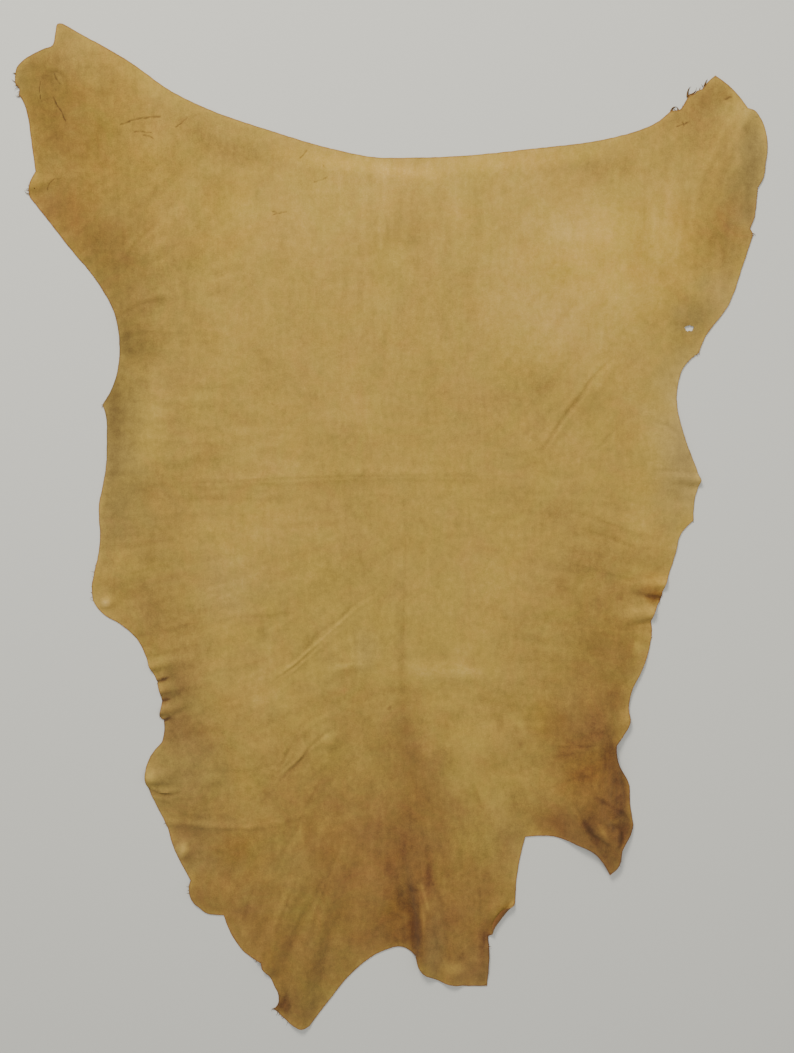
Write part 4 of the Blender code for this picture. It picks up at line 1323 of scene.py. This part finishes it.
@dataclass
class PatinaAndPaintedLight:
    """The colouring that belongs to places on the skin: its staining and scars, and the painted
    shade and painted highlights among the patches.
    """

    stains_and_painted_light: tuple[StainOrPaintedLight, ...] = STAINS_AND_PAINTED_LIGHT
    scars: tuple[Scar, ...] = SCARS
    creases: tuple[Fold, ...] = CREASES + FOLDS
    edge_waver: float = 0.2
    bays: tuple[float, ...] = (12.0, 22.0, 40.0, 90.0)
    blotching: float = 0.06
    blotch_size: float = 26.0
    blotch_seed: int = 7
    deepest: float = 3.5
    scar_waver: float = 0.9
    scar_waver_size: float = 6.0
    scar_waver_seeds: tuple[int, int] = (31, 32)
    scar_share: float = 0.85
    scar_gaps: float = 0.38
    scar_gap_size: float = 4.0
    scar_gap_seed: int = 33
    streak_size: float = 9.0
    streak_reach: float = 42.0
    streak_steps: int = 15
    streak_gain: float = 3.0
    streak_seed: int = 21
    pull_step: float = 25.0
    pull_reach: float = 60.0
    full_pull: float = 1.5

    def stained_and_painted_light(self, x: Values, y: Values) -> tuple[Values, Values, Values]:
        """What the patches of staining, painted shade and painted highlights do at many places.

        Args:
            x: places across.
            y: places along.

        Returns:
            The tone, dark to pale, the ochre, khaki to rust, and the dust, rich to greyed.
        """
        wavers = {
            size: 1 + self.edge_waver * layered_cloud(x, y, size, 3, size) for size in self.bays}
        tone, ochre, dust = np.zeros_like(x), np.zeros_like(x), np.zeros_like(x)
        for stain_or_painted_light in self.stains_and_painted_light:
            share = stain_or_painted_light.share(x, y, wavers)
            tone += stain_or_painted_light.tone * share
            ochre += stain_or_painted_light.ochre * share
            dust += stain_or_painted_light.dust * share
        blotches = 1 + self.blotching * layered_cloud(x, y, self.blotch_size, 4, self.blotch_seed)
        tone = np.where(tone < 0, self.deepest * np.tanh(tone / self.deepest), tone)
        return tone * blotches, ochre * blotches, dust

    def scarring(self, x: Values, y: Values) -> Values:
        """How deep the healed scratches are, from 0 to 1, skipping where the knife or thorn did."""
        bent_x, bent_y = (
            place + self.scar_waver * cloud(x, y, self.scar_waver_size, seed)
            for place, seed in zip((x, y), self.scar_waver_seeds))
        total = sum(
            scar.band(scar.width * self.scar_share).heights(bent_x, bent_y)
            for scar in self.scars)
        gaps = self.scar_gaps * cloud(x, y, self.scar_gap_size, self.scar_gap_seed)
        return np.clip(total, 0, 1) * (1 - self.scar_gaps + gaps)

    def pull(self, x: Values, y: Values) -> tuple[Values, Values]:
        """How the folds and creases near many places pull the nap.

        Args:
            x: places across.
            y: places along.

        Returns:
            The direction of the pull, in radians from +X, and its strength, from 0 to 1.
        """
        lean_x, lean_y, weight = np.zeros_like(x), np.zeros_like(x), np.zeros_like(x)
        for crease in self.creases:
            crest = smooth_run(crease.crest, self.pull_step)
            for start, end in zip(crest, crest[1:]):
                middle, along = (start + end) / 2, (end - start)
                angle = 2 * math.atan2(along.y, along.x)
                square = (x - middle.x) ** 2 + (y - middle.y) ** 2
                near = np.exp(-square / (2 * self.pull_reach ** 2)) * along.length / self.pull_step
                lean_x += near * math.cos(angle)
                lean_y += near * math.sin(angle)
                weight += near
        agreement = np.hypot(lean_x, lean_y) / np.maximum(weight, 1e-6)
        return np.arctan2(lean_y, lean_x) / 2, np.clip(weight / self.full_pull, 0, 1) * agreement

    def streaks(self, x: Values, y: Values) -> Values:
        """Faint streaks in the nap, which run along the nearest folds and creases.

        Args:
            x: places across.
            y: places along.

        Returns:
            Values from about -1 to 1, fading to 0 away from the folds.
        """
        angle, strength = self.pull(x, y)
        along_x, along_y = np.cos(angle), np.sin(angle)
        steps = np.linspace(-1, 1, self.streak_steps)
        total = np.zeros_like(x)
        for step in steps:
            reach = step * self.streak_reach
            there = (x + along_x * reach, y + along_y * reach)
            total += layered_cloud(*there, self.streak_size, 2, self.streak_seed) * (1 - step ** 2)
        return total / (1 - steps ** 2).sum() * self.streak_gain * strength


class Face(IntEnum):
    """The material slots of the skin."""

    GRAIN = 0
    EDGE = 1
    FLESH = 2


@dataclass
class LeatherSheet:
    """The whole skin: one sheet with its relief, its hole and the paint on its three faces.

    The cells are the longest edges left on the face and its folds, on the narrow creases, and on
    the scars and the hole. An apron is a factor on the half widths of what gets such cells.
    """

    outline: Outline = field(default_factory=Outline)
    relief: Relief = field(default_factory=Relief)
    patina_and_painted_light: PatinaAndPaintedLight = field(default_factory=PatinaAndPaintedLight)
    rolls: tuple[Roll, ...] = ROLLS
    thickness: float = 1.4
    slice_width: float = 9.0
    slices_across: int = 64
    slices_along: int = 96
    snap: float = 1.5
    cells: tuple[float, float, float] = (6.0, 3.0, 1.6)
    broad_fold: float = 24.0
    broad_crease: float = 6.0
    crease_apron: float = 1.3
    narrow_apron: float = 1.2
    scar_half_width: float = 2.0
    scar_apron: float = 2.0
    roll_cell: float = 1.8
    roll_sides: tuple[float, float] = (20.0, 3.0)
    roll_reach: float = 30.0
    roll_ends: float = 0.02
    rim_reach: float = 9.0
    hole_centre: tuple[float, float] = (428.0, 324.0)
    hole_radius: float = 5.2
    hole_oval: float = 0.22
    hole_tears: tuple[float, float] = (0.12, 0.06)
    hole_apron: float = 2.4
    hole_pull: float = 1.8
    crease_shade: float = 0.16
    crease_limits: tuple[float, float] = (-3.0, 1.5)
    scar_shade: float = 1.3
    groove: float = 0.3
    groove_share: float = 0.15
    scar_groove: float = 0.25
    streak_height: float = 0.05
    upright: float = 0.5
    sharp: float = 50.0
    flat_size: tuple[float, float] = (1.066, 1.495)
    flat_area: float = 1.01

    def slice(self, sheet: bmesh.types.BMesh, faces: list, axis: int, low: int, high: int) -> None:
        """Cuts faces along an axis into slices, halving them again and again.

        Args:
            sheet: the flat sheet.
            faces: its faces between the two lines.
            axis: 0 to cut across, 1 to cut along.
            low: number of the line under the faces.
            high: number of the line over them.
        """
        if high - low < 2 or not faces:
            return
        line = (low + high) // 2
        place, normal = Vector((0, 0, 0)), Vector((0, 0, 0))
        place[axis], normal[axis] = line * self.slice_width, 1.0
        verts = {vert for face in faces for vert in face.verts}
        edges = {edge for face in faces for edge in face.edges}
        cut = bmesh.ops.bisect_plane(
            sheet, geom=[*verts, *edges, *faces], dist=self.snap, plane_co=place, plane_no=normal)
        faces = [item for item in cut["geom"] if isinstance(item, bmesh.types.BMFace)]
        below = [face for face in faces if face.calc_center_bounds()[axis] < place[axis]]
        above = [face for face in faces if face.calc_center_bounds()[axis] >= place[axis]]
        self.slice(sheet, below, axis, low, line)
        self.slice(sheet, above, axis, line, high)

    def hole_reach(self, point: Vector) -> float:
        """How far a place is from the hole's middle, as a share of its ragged rim."""
        away = point.xy - Vector(self.hole_centre)
        turn = math.atan2(away.y, away.x)
        rim = self.hole_radius * (
            1 + self.hole_oval * math.cos(2 * turn)
            + self.hole_tears[0] * math.sin(5 * turn) + self.hole_tears[1] * math.sin(9 * turn))
        return away.length / rim

    def refine(self, sheet: bmesh.types.BMesh, wanted: list) -> None:
        """Halves the given edges and the faces between them."""
        bmesh.ops.subdivide_edges(sheet, edges=wanted, cuts=1, use_grid_fill=True)
        crowded = [face for face in sheet.faces if len(face.verts) > 4]
        bmesh.ops.triangulate(sheet, faces=crowded)

    def edges_near(
        self, sheet: bmesh.types.BMesh, shapes: list[tuple[Fold, float]], longest: float
    ) -> list:
        """The sheet's edges that lie on some folds and are still too long.

        Args:
            sheet: the sheet.
            shapes: each fold and the factor on its half widths.
            longest: shorter edges are left out.

        Returns:
            The edges.
        """
        edges = [edge for edge in sheet.edges if edge.calc_length() > longest]
        middles = np.array([(edge.verts[0].co + edge.verts[1].co)[:2] for edge in edges]) / 2
        touched = np.zeros(len(edges), dtype=bool)
        for fold, wider in shapes:
            touched |= fold.level().heights(middles[:, 0], middles[:, 1], wider) > 0
        return [edge for edge, hit in zip(edges, touched) if hit]

    def pierce(self, sheet: bmesh.types.BMesh) -> None:
        """Opens the hole in the right armpit, and fits its rim to the ragged tear."""
        for longest in self.cells:
            near = [
                edge for edge in sheet.edges if edge.calc_length() > longest
                and self.hole_reach((edge.verts[0].co + edge.verts[1].co) / 2) < self.hole_apron]
            self.refine(sheet, near)
        gone = [face for face in sheet.faces if self.hole_reach(face.calc_center_median()) < 1]
        bmesh.ops.delete(sheet, geom=gone, context="FACES")
        for vert in sheet.verts:
            reach = self.hole_reach(vert.co)
            if vert.is_boundary and reach < self.hole_pull:
                away = vert.co.xy - Vector(self.hole_centre)
                vert.co.xy = Vector(self.hole_centre) + away / reach

    def upper(self, sheet: bmesh.types.BMesh) -> set:
        """The edges that lie wholly on the sheet's upper side."""
        limit = self.thickness / 2
        return {edge for edge in sheet.edges if min(vert.co.z for vert in edge.verts) > limit}

    def flat_sheet(self) -> bmesh.types.BMesh:
        """The flat skin as it was cut, sliced into cells and thickened."""
        sheet = bmesh.new()
        skin = sheet.faces.new([sheet.verts.new(point) for point in self.outline.cut_path()])
        self.slice(sheet, [skin], 0, -self.slices_across, self.slices_across)
        self.slice(sheet, sheet.faces[:], 1, -self.slices_along, self.slices_along)
        folds, creases = self.relief.folds, self.relief.creases
        rolled = [(roll.band(*self.roll_sides), 1.0) for roll in self.rolls]
        main = [(fold, 1.0) for fold in folds if min(fold.left, fold.right) < self.broad_fold]
        fine = [(crease, self.crease_apron) for crease in creases]
        narrow = [
            (crease, self.narrow_apron) for crease in creases if crease.left <= self.broad_crease]
        self.refine(sheet, self.edges_near(sheet, main + fine + rolled, self.cells[0]))
        self.refine(sheet, self.edges_near(sheet, narrow + rolled, self.cells[1]))
        self.refine(sheet, self.edges_near(sheet, rolled, self.roll_cell))
        self.pierce(sheet)
        lifted = bmesh.ops.extrude_face_region(sheet, geom=sheet.faces[:], use_keep_orig=True)
        verts = [item for item in lifted["geom"] if isinstance(item, bmesh.types.BMVert)]
        bmesh.ops.translate(sheet, vec=UP * self.thickness, verts=verts)
        bmesh.ops.recalc_face_normals(sheet, faces=sheet.faces[:])
        return sheet

    def add_grain_cells(self, sheet: bmesh.types.BMesh) -> None:
        """Gives the upper side its finer cells, finest on the scars."""
        coarse, *finer = self.cells
        self.refine(sheet, [edge for edge in self.upper(sheet) if edge.calc_length() > coarse])
        scars = [(scar.band(self.scar_half_width), self.scar_apron) for scar in self.patina_and_painted_light.scars]
        for longest in finer:
            top = self.upper(sheet)
            self.refine(
                sheet, [edge for edge in self.edges_near(sheet, scars, longest) if edge in top])

    def rim_share(self, x: Values, y: Values) -> Values:
        """How near the cut edge each place is, from 0 to 1 at the edge."""
        path = self.outline.path()
        share = np.zeros_like(x)
        margin = self.rim_reach + self.outline.step
        for start, end in zip(path, [*path[1:], path[0]]):
            near = np.flatnonzero((np.abs(x - start.x) < margin) & (np.abs(y - start.y) < margin))
            _, distance, _ = measure_stretch(start, end, x[near], y[near])
            nearness = np.clip(1 - distance / self.rim_reach, 0, 1)
            share[near] = np.maximum(share[near], nearness)
        return share

    def curl(self, places: Values, roll: Roll) -> None:
        """Curls the sheet up and over beyond one line, most in the middle of it.

        Args:
            places: the sheet's points, with their heights over its underside; moved in place.
            roll: the line and how tight the curl is.
        """
        start, reach = Vector(roll.start), Vector(roll.end) - Vector(roll.start)
        along, out = reach.normalized(), Vector((-reach.y, reach.x)).normalized()
        to_x, to_y = places[:, 0] - start.x, places[:, 1] - start.y
        share = (to_x * along.x + to_y * along.y) / reach.length
        away = to_x * out.x + to_y * out.y
        beyond = np.flatnonzero(
            (away > 0) & (away < self.roll_reach)
            & (share > self.roll_ends) & (share < 1 - self.roll_ends))
        away, high = away[beyond], places[beyond, 2]
        bend = (1 - np.abs(2 * share[beyond] - 1) ** 3) / roll.radius
        angle = away * bend
        moved = np.sin(angle) / bend - high * np.sin(angle) - away
        places[beyond, 0] += moved * out.x
        places[beyond, 1] += moved * out.y
        places[beyond, 2] = (1 - np.cos(angle)) / bend + high * np.cos(angle)

    def shape(self, mesh: bpy.types.Mesh) -> None:
        """Raises the flat sheet on its folds, and stores its colouring."""
        places = np.empty(len(mesh.vertices) * 3)
        mesh.vertices.foreach_get("co", places)
        places = places.reshape(-1, 3)
        x, y, z = places.T.copy()
        on_grain = z / self.thickness
        creasing = self.relief.creasing(x, y)
        scarring = self.patina_and_painted_light.scarring(x, y)
        streaks = self.patina_and_painted_light.streaks(x, y)
        tone, ochre, dust = self.patina_and_painted_light.stained_and_painted_light(x, y)
        # Painted shade and painted highlight: the creases darken the tone and the ridges lighten
        # it, in step with their depth and height.
        creased = self.crease_shade * np.clip(creasing, *self.crease_limits)
        paint = {
            "tone": tone + creased - self.scar_shade * scarring,
            "ochre": ochre,
            "dust": dust,
            "streak": streaks,
            "rim": self.rim_share(x, y),
        }
        for name, values in paint.items():
            layer = mesh.attributes.new(name, "FLOAT", "POINT")
            layer.data.foreach_set("value", np.ascontiguousarray(values, dtype=np.float32))
        groove = np.clip(-creasing * self.groove_share, 0, self.groove)
        groove += self.scar_groove * scarring
        places[:, 2] -= on_grain * (groove - self.streak_height * streaks)
        for roll in self.rolls:
            self.curl(places, roll)
        places[:, 2] += self.relief.heights(places[:, 0], places[:, 1])
        places[:, :2] -= np.array(self.outline.middle().xy)
        mesh.vertices.foreach_set("co", (places * MM).ravel())
        mesh.update()

    def build(self) -> bpy.types.Object:
        """Returns:
            The finished piece.
        """
        sheet = self.flat_sheet()
        self.add_grain_cells(sheet)
        for face in sheet.faces:
            lean = face.normal.z
            if abs(lean) <= self.upright:
                face.material_index = Face.EDGE
            else:
                face.material_index = Face.GRAIN if lean > 0 else Face.FLESH
            face.smooth = True
        mesh = finished_mesh("deerskin", sheet, (BrushedDeerskin(), CutEdge(), FleshSide()))
        self.shape(mesh)
        mesh.set_sharp_from_angle(angle=math.radians(self.sharp))
        skin = add_object("deerskin", mesh)
        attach(skin, "root")
        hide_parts("hide")
        return skin


@dataclass
class EdgeShreds:
    """The threads and shreds of raw leather that the trimming left along the edge.

    Each pair of numbers is the least and the most that a thread may have.
    """

    shreds: tuple[Shred, ...] = SHREDS
    frays: tuple[Fray, ...] = FRAYS
    outline: Outline = field(default_factory=Outline)
    relief: Relief = field(default_factory=Relief)
    fibre: CutEdge = CutEdge(name="raw_deerskin_fibre", colour=0x7E5C32, shade=0x4A3218)
    sides: int = 5
    steps: int = 7
    curl_step: float = 1.5
    lie: float = 0.7
    flatness: float = 0.55
    taper: float = 0.86
    sunk: float = 0.9
    spacing: tuple[float, float] = (0.2, 0.8)
    length: tuple[float, float] = (0.5, 1.25)
    bend: tuple[float, float] = (-2.4, 2.4)
    rise: tuple[float, float] = (-0.2, 1.5)
    aim: tuple[float, float] = (-0.9, 0.9)
    radius: tuple[float, float] = (0.45, 0.9)
    seed: int = 11

    def root(self, spot: Vector, edge: list[Vector]) -> Vector:
        """Where the thread near a spot leaves the skin: on its cut edge, sunk a little into it.

        Args:
            spot: a place near the edge.
            edge: the points of the cut edge.

        Returns:
            The thread's root.
        """
        near = min(range(len(edge)), key=lambda number: (edge[number] - spot).length)
        along = (edge[(near + 1) % len(edge)] - edge[near - 1]).normalized()
        inwards = along.cross(UP)
        return edge[near] + along * (spot - edge[near]).dot(along) + inwards * self.sunk

    def wander(self, root: Vector, heading: float, fray: Fray, dice: random.Random) -> list[Vector]:
        """The path of one loose thread, which turns one way and lifts as it goes.

        Args:
            root: where it leaves the skin.
            heading: which way it starts, in radians from +X.
            fray: the stretch that it belongs to.
            dice: the source of its length, turn and lift.

        Returns:
            The path's points.
        """
        length = fray.length * dice.uniform(*self.length)
        bend, rise = dice.uniform(*self.bend), dice.uniform(*self.rise)
        path = [root]
        for step in range(self.steps):
            heading += bend / self.steps
            slope = rise / length * math.cos(step / self.steps * math.pi)
            ahead = Vector((math.cos(heading), math.sin(heading), slope))
            path.append(path[-1] + ahead * length / self.steps)
        return path

    def thread(self, shreds: bmesh.types.BMesh, path: list[Vector], radius: float) -> None:
        """Adds one tapered thread, drawn out from its root step by step.

        Args:
            shreds: the mesh that takes it.
            path: its points, from the root to the tip.
            radius: how thick it is at the root.
        """
        ring = bmesh.ops.create_circle(
            shreds, cap_ends=True, segments=self.sides, radius=radius)["verts"]
        stand = (path[1] - path[0]).to_track_quat("Z", "Y")
        bmesh.ops.rotate(shreds, verts=ring, cent=(0, 0, 0), matrix=stand.to_matrix())
        bmesh.ops.scale(shreds, verts=ring, vec=(1, 1, self.flatness))
        bmesh.ops.translate(shreds, verts=ring, vec=path[0])
        cap = [face for face in shreds.faces if all(vert in set(ring) for vert in face.verts)]
        steps = len(path) - 1
        for step, (place, following) in enumerate(zip(path, path[1:])):
            drawn = bmesh.ops.extrude_face_region(shreds, geom=cap)["geom"]
            grown = [item for item in drawn if isinstance(item, bmesh.types.BMFace)]
            verts = list({vert for face in grown for vert in face.verts})
            bmesh.ops.translate(shreds, verts=verts, vec=following - place)
            taper = (1 - self.taper * (step + 1) / steps) / (1 - self.taper * step / steps)
            bmesh.ops.scale(
                shreds, verts=verts, vec=(taper, taper, taper),
                space=Matrix.Translation(-following))
            cap = grown

    def build(self) -> bpy.types.Object:
        """Builds and dresses the shreds.

        Returns:
            The finished piece.
        """
        dice = random.Random(self.seed)
        shreds = bmesh.new()
        edge = self.outline.cut_path()
        spots = []
        for fray in self.frays:
            for number in range(fray.shreds):
                share = (number + dice.uniform(*self.spacing)) / fray.shreds
                spot = Vector(fray.start).lerp(Vector(fray.end), share).to_3d()
                spots.append((fray, self.root(spot, edge)))
        curls = [smooth_run(shred.points, self.curl_step) for shred in self.shreds]
        roots = np.array([spot for _, spot in spots] + [curl[0] for curl in curls])
        heights = self.relief.heights(roots[:, 0], roots[:, 1])
        for (fray, spot), height in zip(spots, heights):
            heading = math.radians(fray.outwards) + dice.uniform(*self.aim)
            path = self.wander(Vector((spot.x, spot.y, height + self.lie)), heading, fray, dice)
            self.thread(shreds, path, dice.uniform(*self.radius))
        for shred, curl, height in zip(self.shreds, curls, heights[len(spots):]):
            lift = UP * (height + self.lie)
            self.thread(shreds, [point + lift for point in curl], shred.radius)
        bmesh.ops.recalc_face_normals(shreds, faces=shreds.faces[:])
        bmesh.ops.translate(shreds, verts=shreds.verts[:], vec=-self.outline.middle())
        bmesh.ops.scale(shreds, verts=shreds.verts[:], vec=(MM, MM, MM))
        mesh = finished_mesh("edge_shreds", shreds, (self.fibre,))
        mesh.shade_smooth()
        piece = add_object("edge_shreds", mesh)
        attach(piece, "root")
        return piece


# ---- The studio ----


@dataclass(frozen=True)
class SoftLamp:
    """A square soft light, aimed at a point on the floor. Sizes are in metres."""

    name: str
    place: tuple[float, float, float]
    aim: tuple[float, float, float]
    size: float
    watts: float
    colour: int

    def build(self) -> None:
        """Adds the lamp."""
        data = bpy.data.lights.new(self.name, "AREA")
        data.shape = "SQUARE"
        data.size = self.size
        data.energy = self.watts
        data.color = linear(self.colour)[:3]
        lamp = add_object(self.name, data)
        lamp.location = self.place
        ray = Vector(self.aim) - Vector(self.place)
        lamp.rotation_euler = ray.to_track_quat("-Z", "Y").to_euler()


@dataclass
class Studio:
    """The floor, the lights and the camera. Sizes are in metres."""

    floor_size: float = 8.0
    floor_drop: float = 0.0003
    lamps: tuple[SoftLamp, ...] = (
        SoftLamp("key", (-1.0, 3.2, 2.6), (0.0, 0.0, 0.0), 1.2, 175.0, 0xFFFCF4),
        SoftLamp("fill", (0.2, 0.3, 3.6), (0.0, 0.0, 0.0), 3.0, 60.0, 0xFFFEFA),
    )
    sky: int = 0xDADDE0
    sky_strength: float = 0.5
    lens: float = 50.0
    sensor: float = 36.0
    aim: tuple[float, float] = (0.00581, 0.0346)
    distance: float = 2.15
    pitch: float = 8.0

    def build_floor(self) -> None:
        """Lays the floor just under the skin."""
        floor = bmesh.new()
        bmesh.ops.create_grid(floor, x_segments=2, y_segments=2, size=self.floor_size / 2)
        bmesh.ops.translate(floor, verts=floor.verts[:], vec=UP * -self.floor_drop)
        add_object("floor", finished_mesh("floor", floor, (PaintedFloor(),)))

    def build_sky(self) -> None:
        """Gives the world an even pale light."""
        world = bpy.data.worlds.new("studio")
        world.use_nodes = True
        wire(world.node_tree, world.node_tree.nodes["Background"], {
            "Color": linear(self.sky), "Strength": self.sky_strength})
        bpy.context.scene.world = world

    def build_camera(self) -> None:
        """Sets the camera over the skin, tipped a little towards the neck."""
        data = bpy.data.cameras.new("camera")
        data.lens = self.lens
        data.sensor_width = self.sensor
        camera = add_object("camera", data)
        tip = math.radians(self.pitch)
        camera.location = (
            self.aim[0], self.aim[1] + self.distance * math.sin(tip), self.distance * math.cos(tip))
        camera.rotation_euler = (-tip, 0, 0)
        bpy.context.scene.camera = camera

    def build(self) -> None:
        """Builds the whole studio."""
        self.build_floor()
        self.build_sky()
        for lamp in self.lamps:
            lamp.build()
        self.build_camera()


def report(piece: bpy.types.Object) -> None:
    """Logs a piece's size in millimetres and its triangles."""
    piece.data.calc_loop_triangles()
    across, along, high = (size / MM for size in piece.dimensions)
    LOG.info("%s: %.0f x %.0f x %.1f mm, %d triangles",
             piece.name, across, along, high, len(piece.data.loop_triangles))


def main() -> None:
    """Builds the studio, the skin and its shreds."""
    logging.basicConfig(level=logging.INFO, format="%(name)s: %(message)s")
    Studio().build()
    sheet = LeatherSheet()
    skin = sheet.build()
    report(skin)
    shreds = EdgeShreds().build()
    report(shreds)
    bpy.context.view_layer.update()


if __name__ == "__main__":
    main()
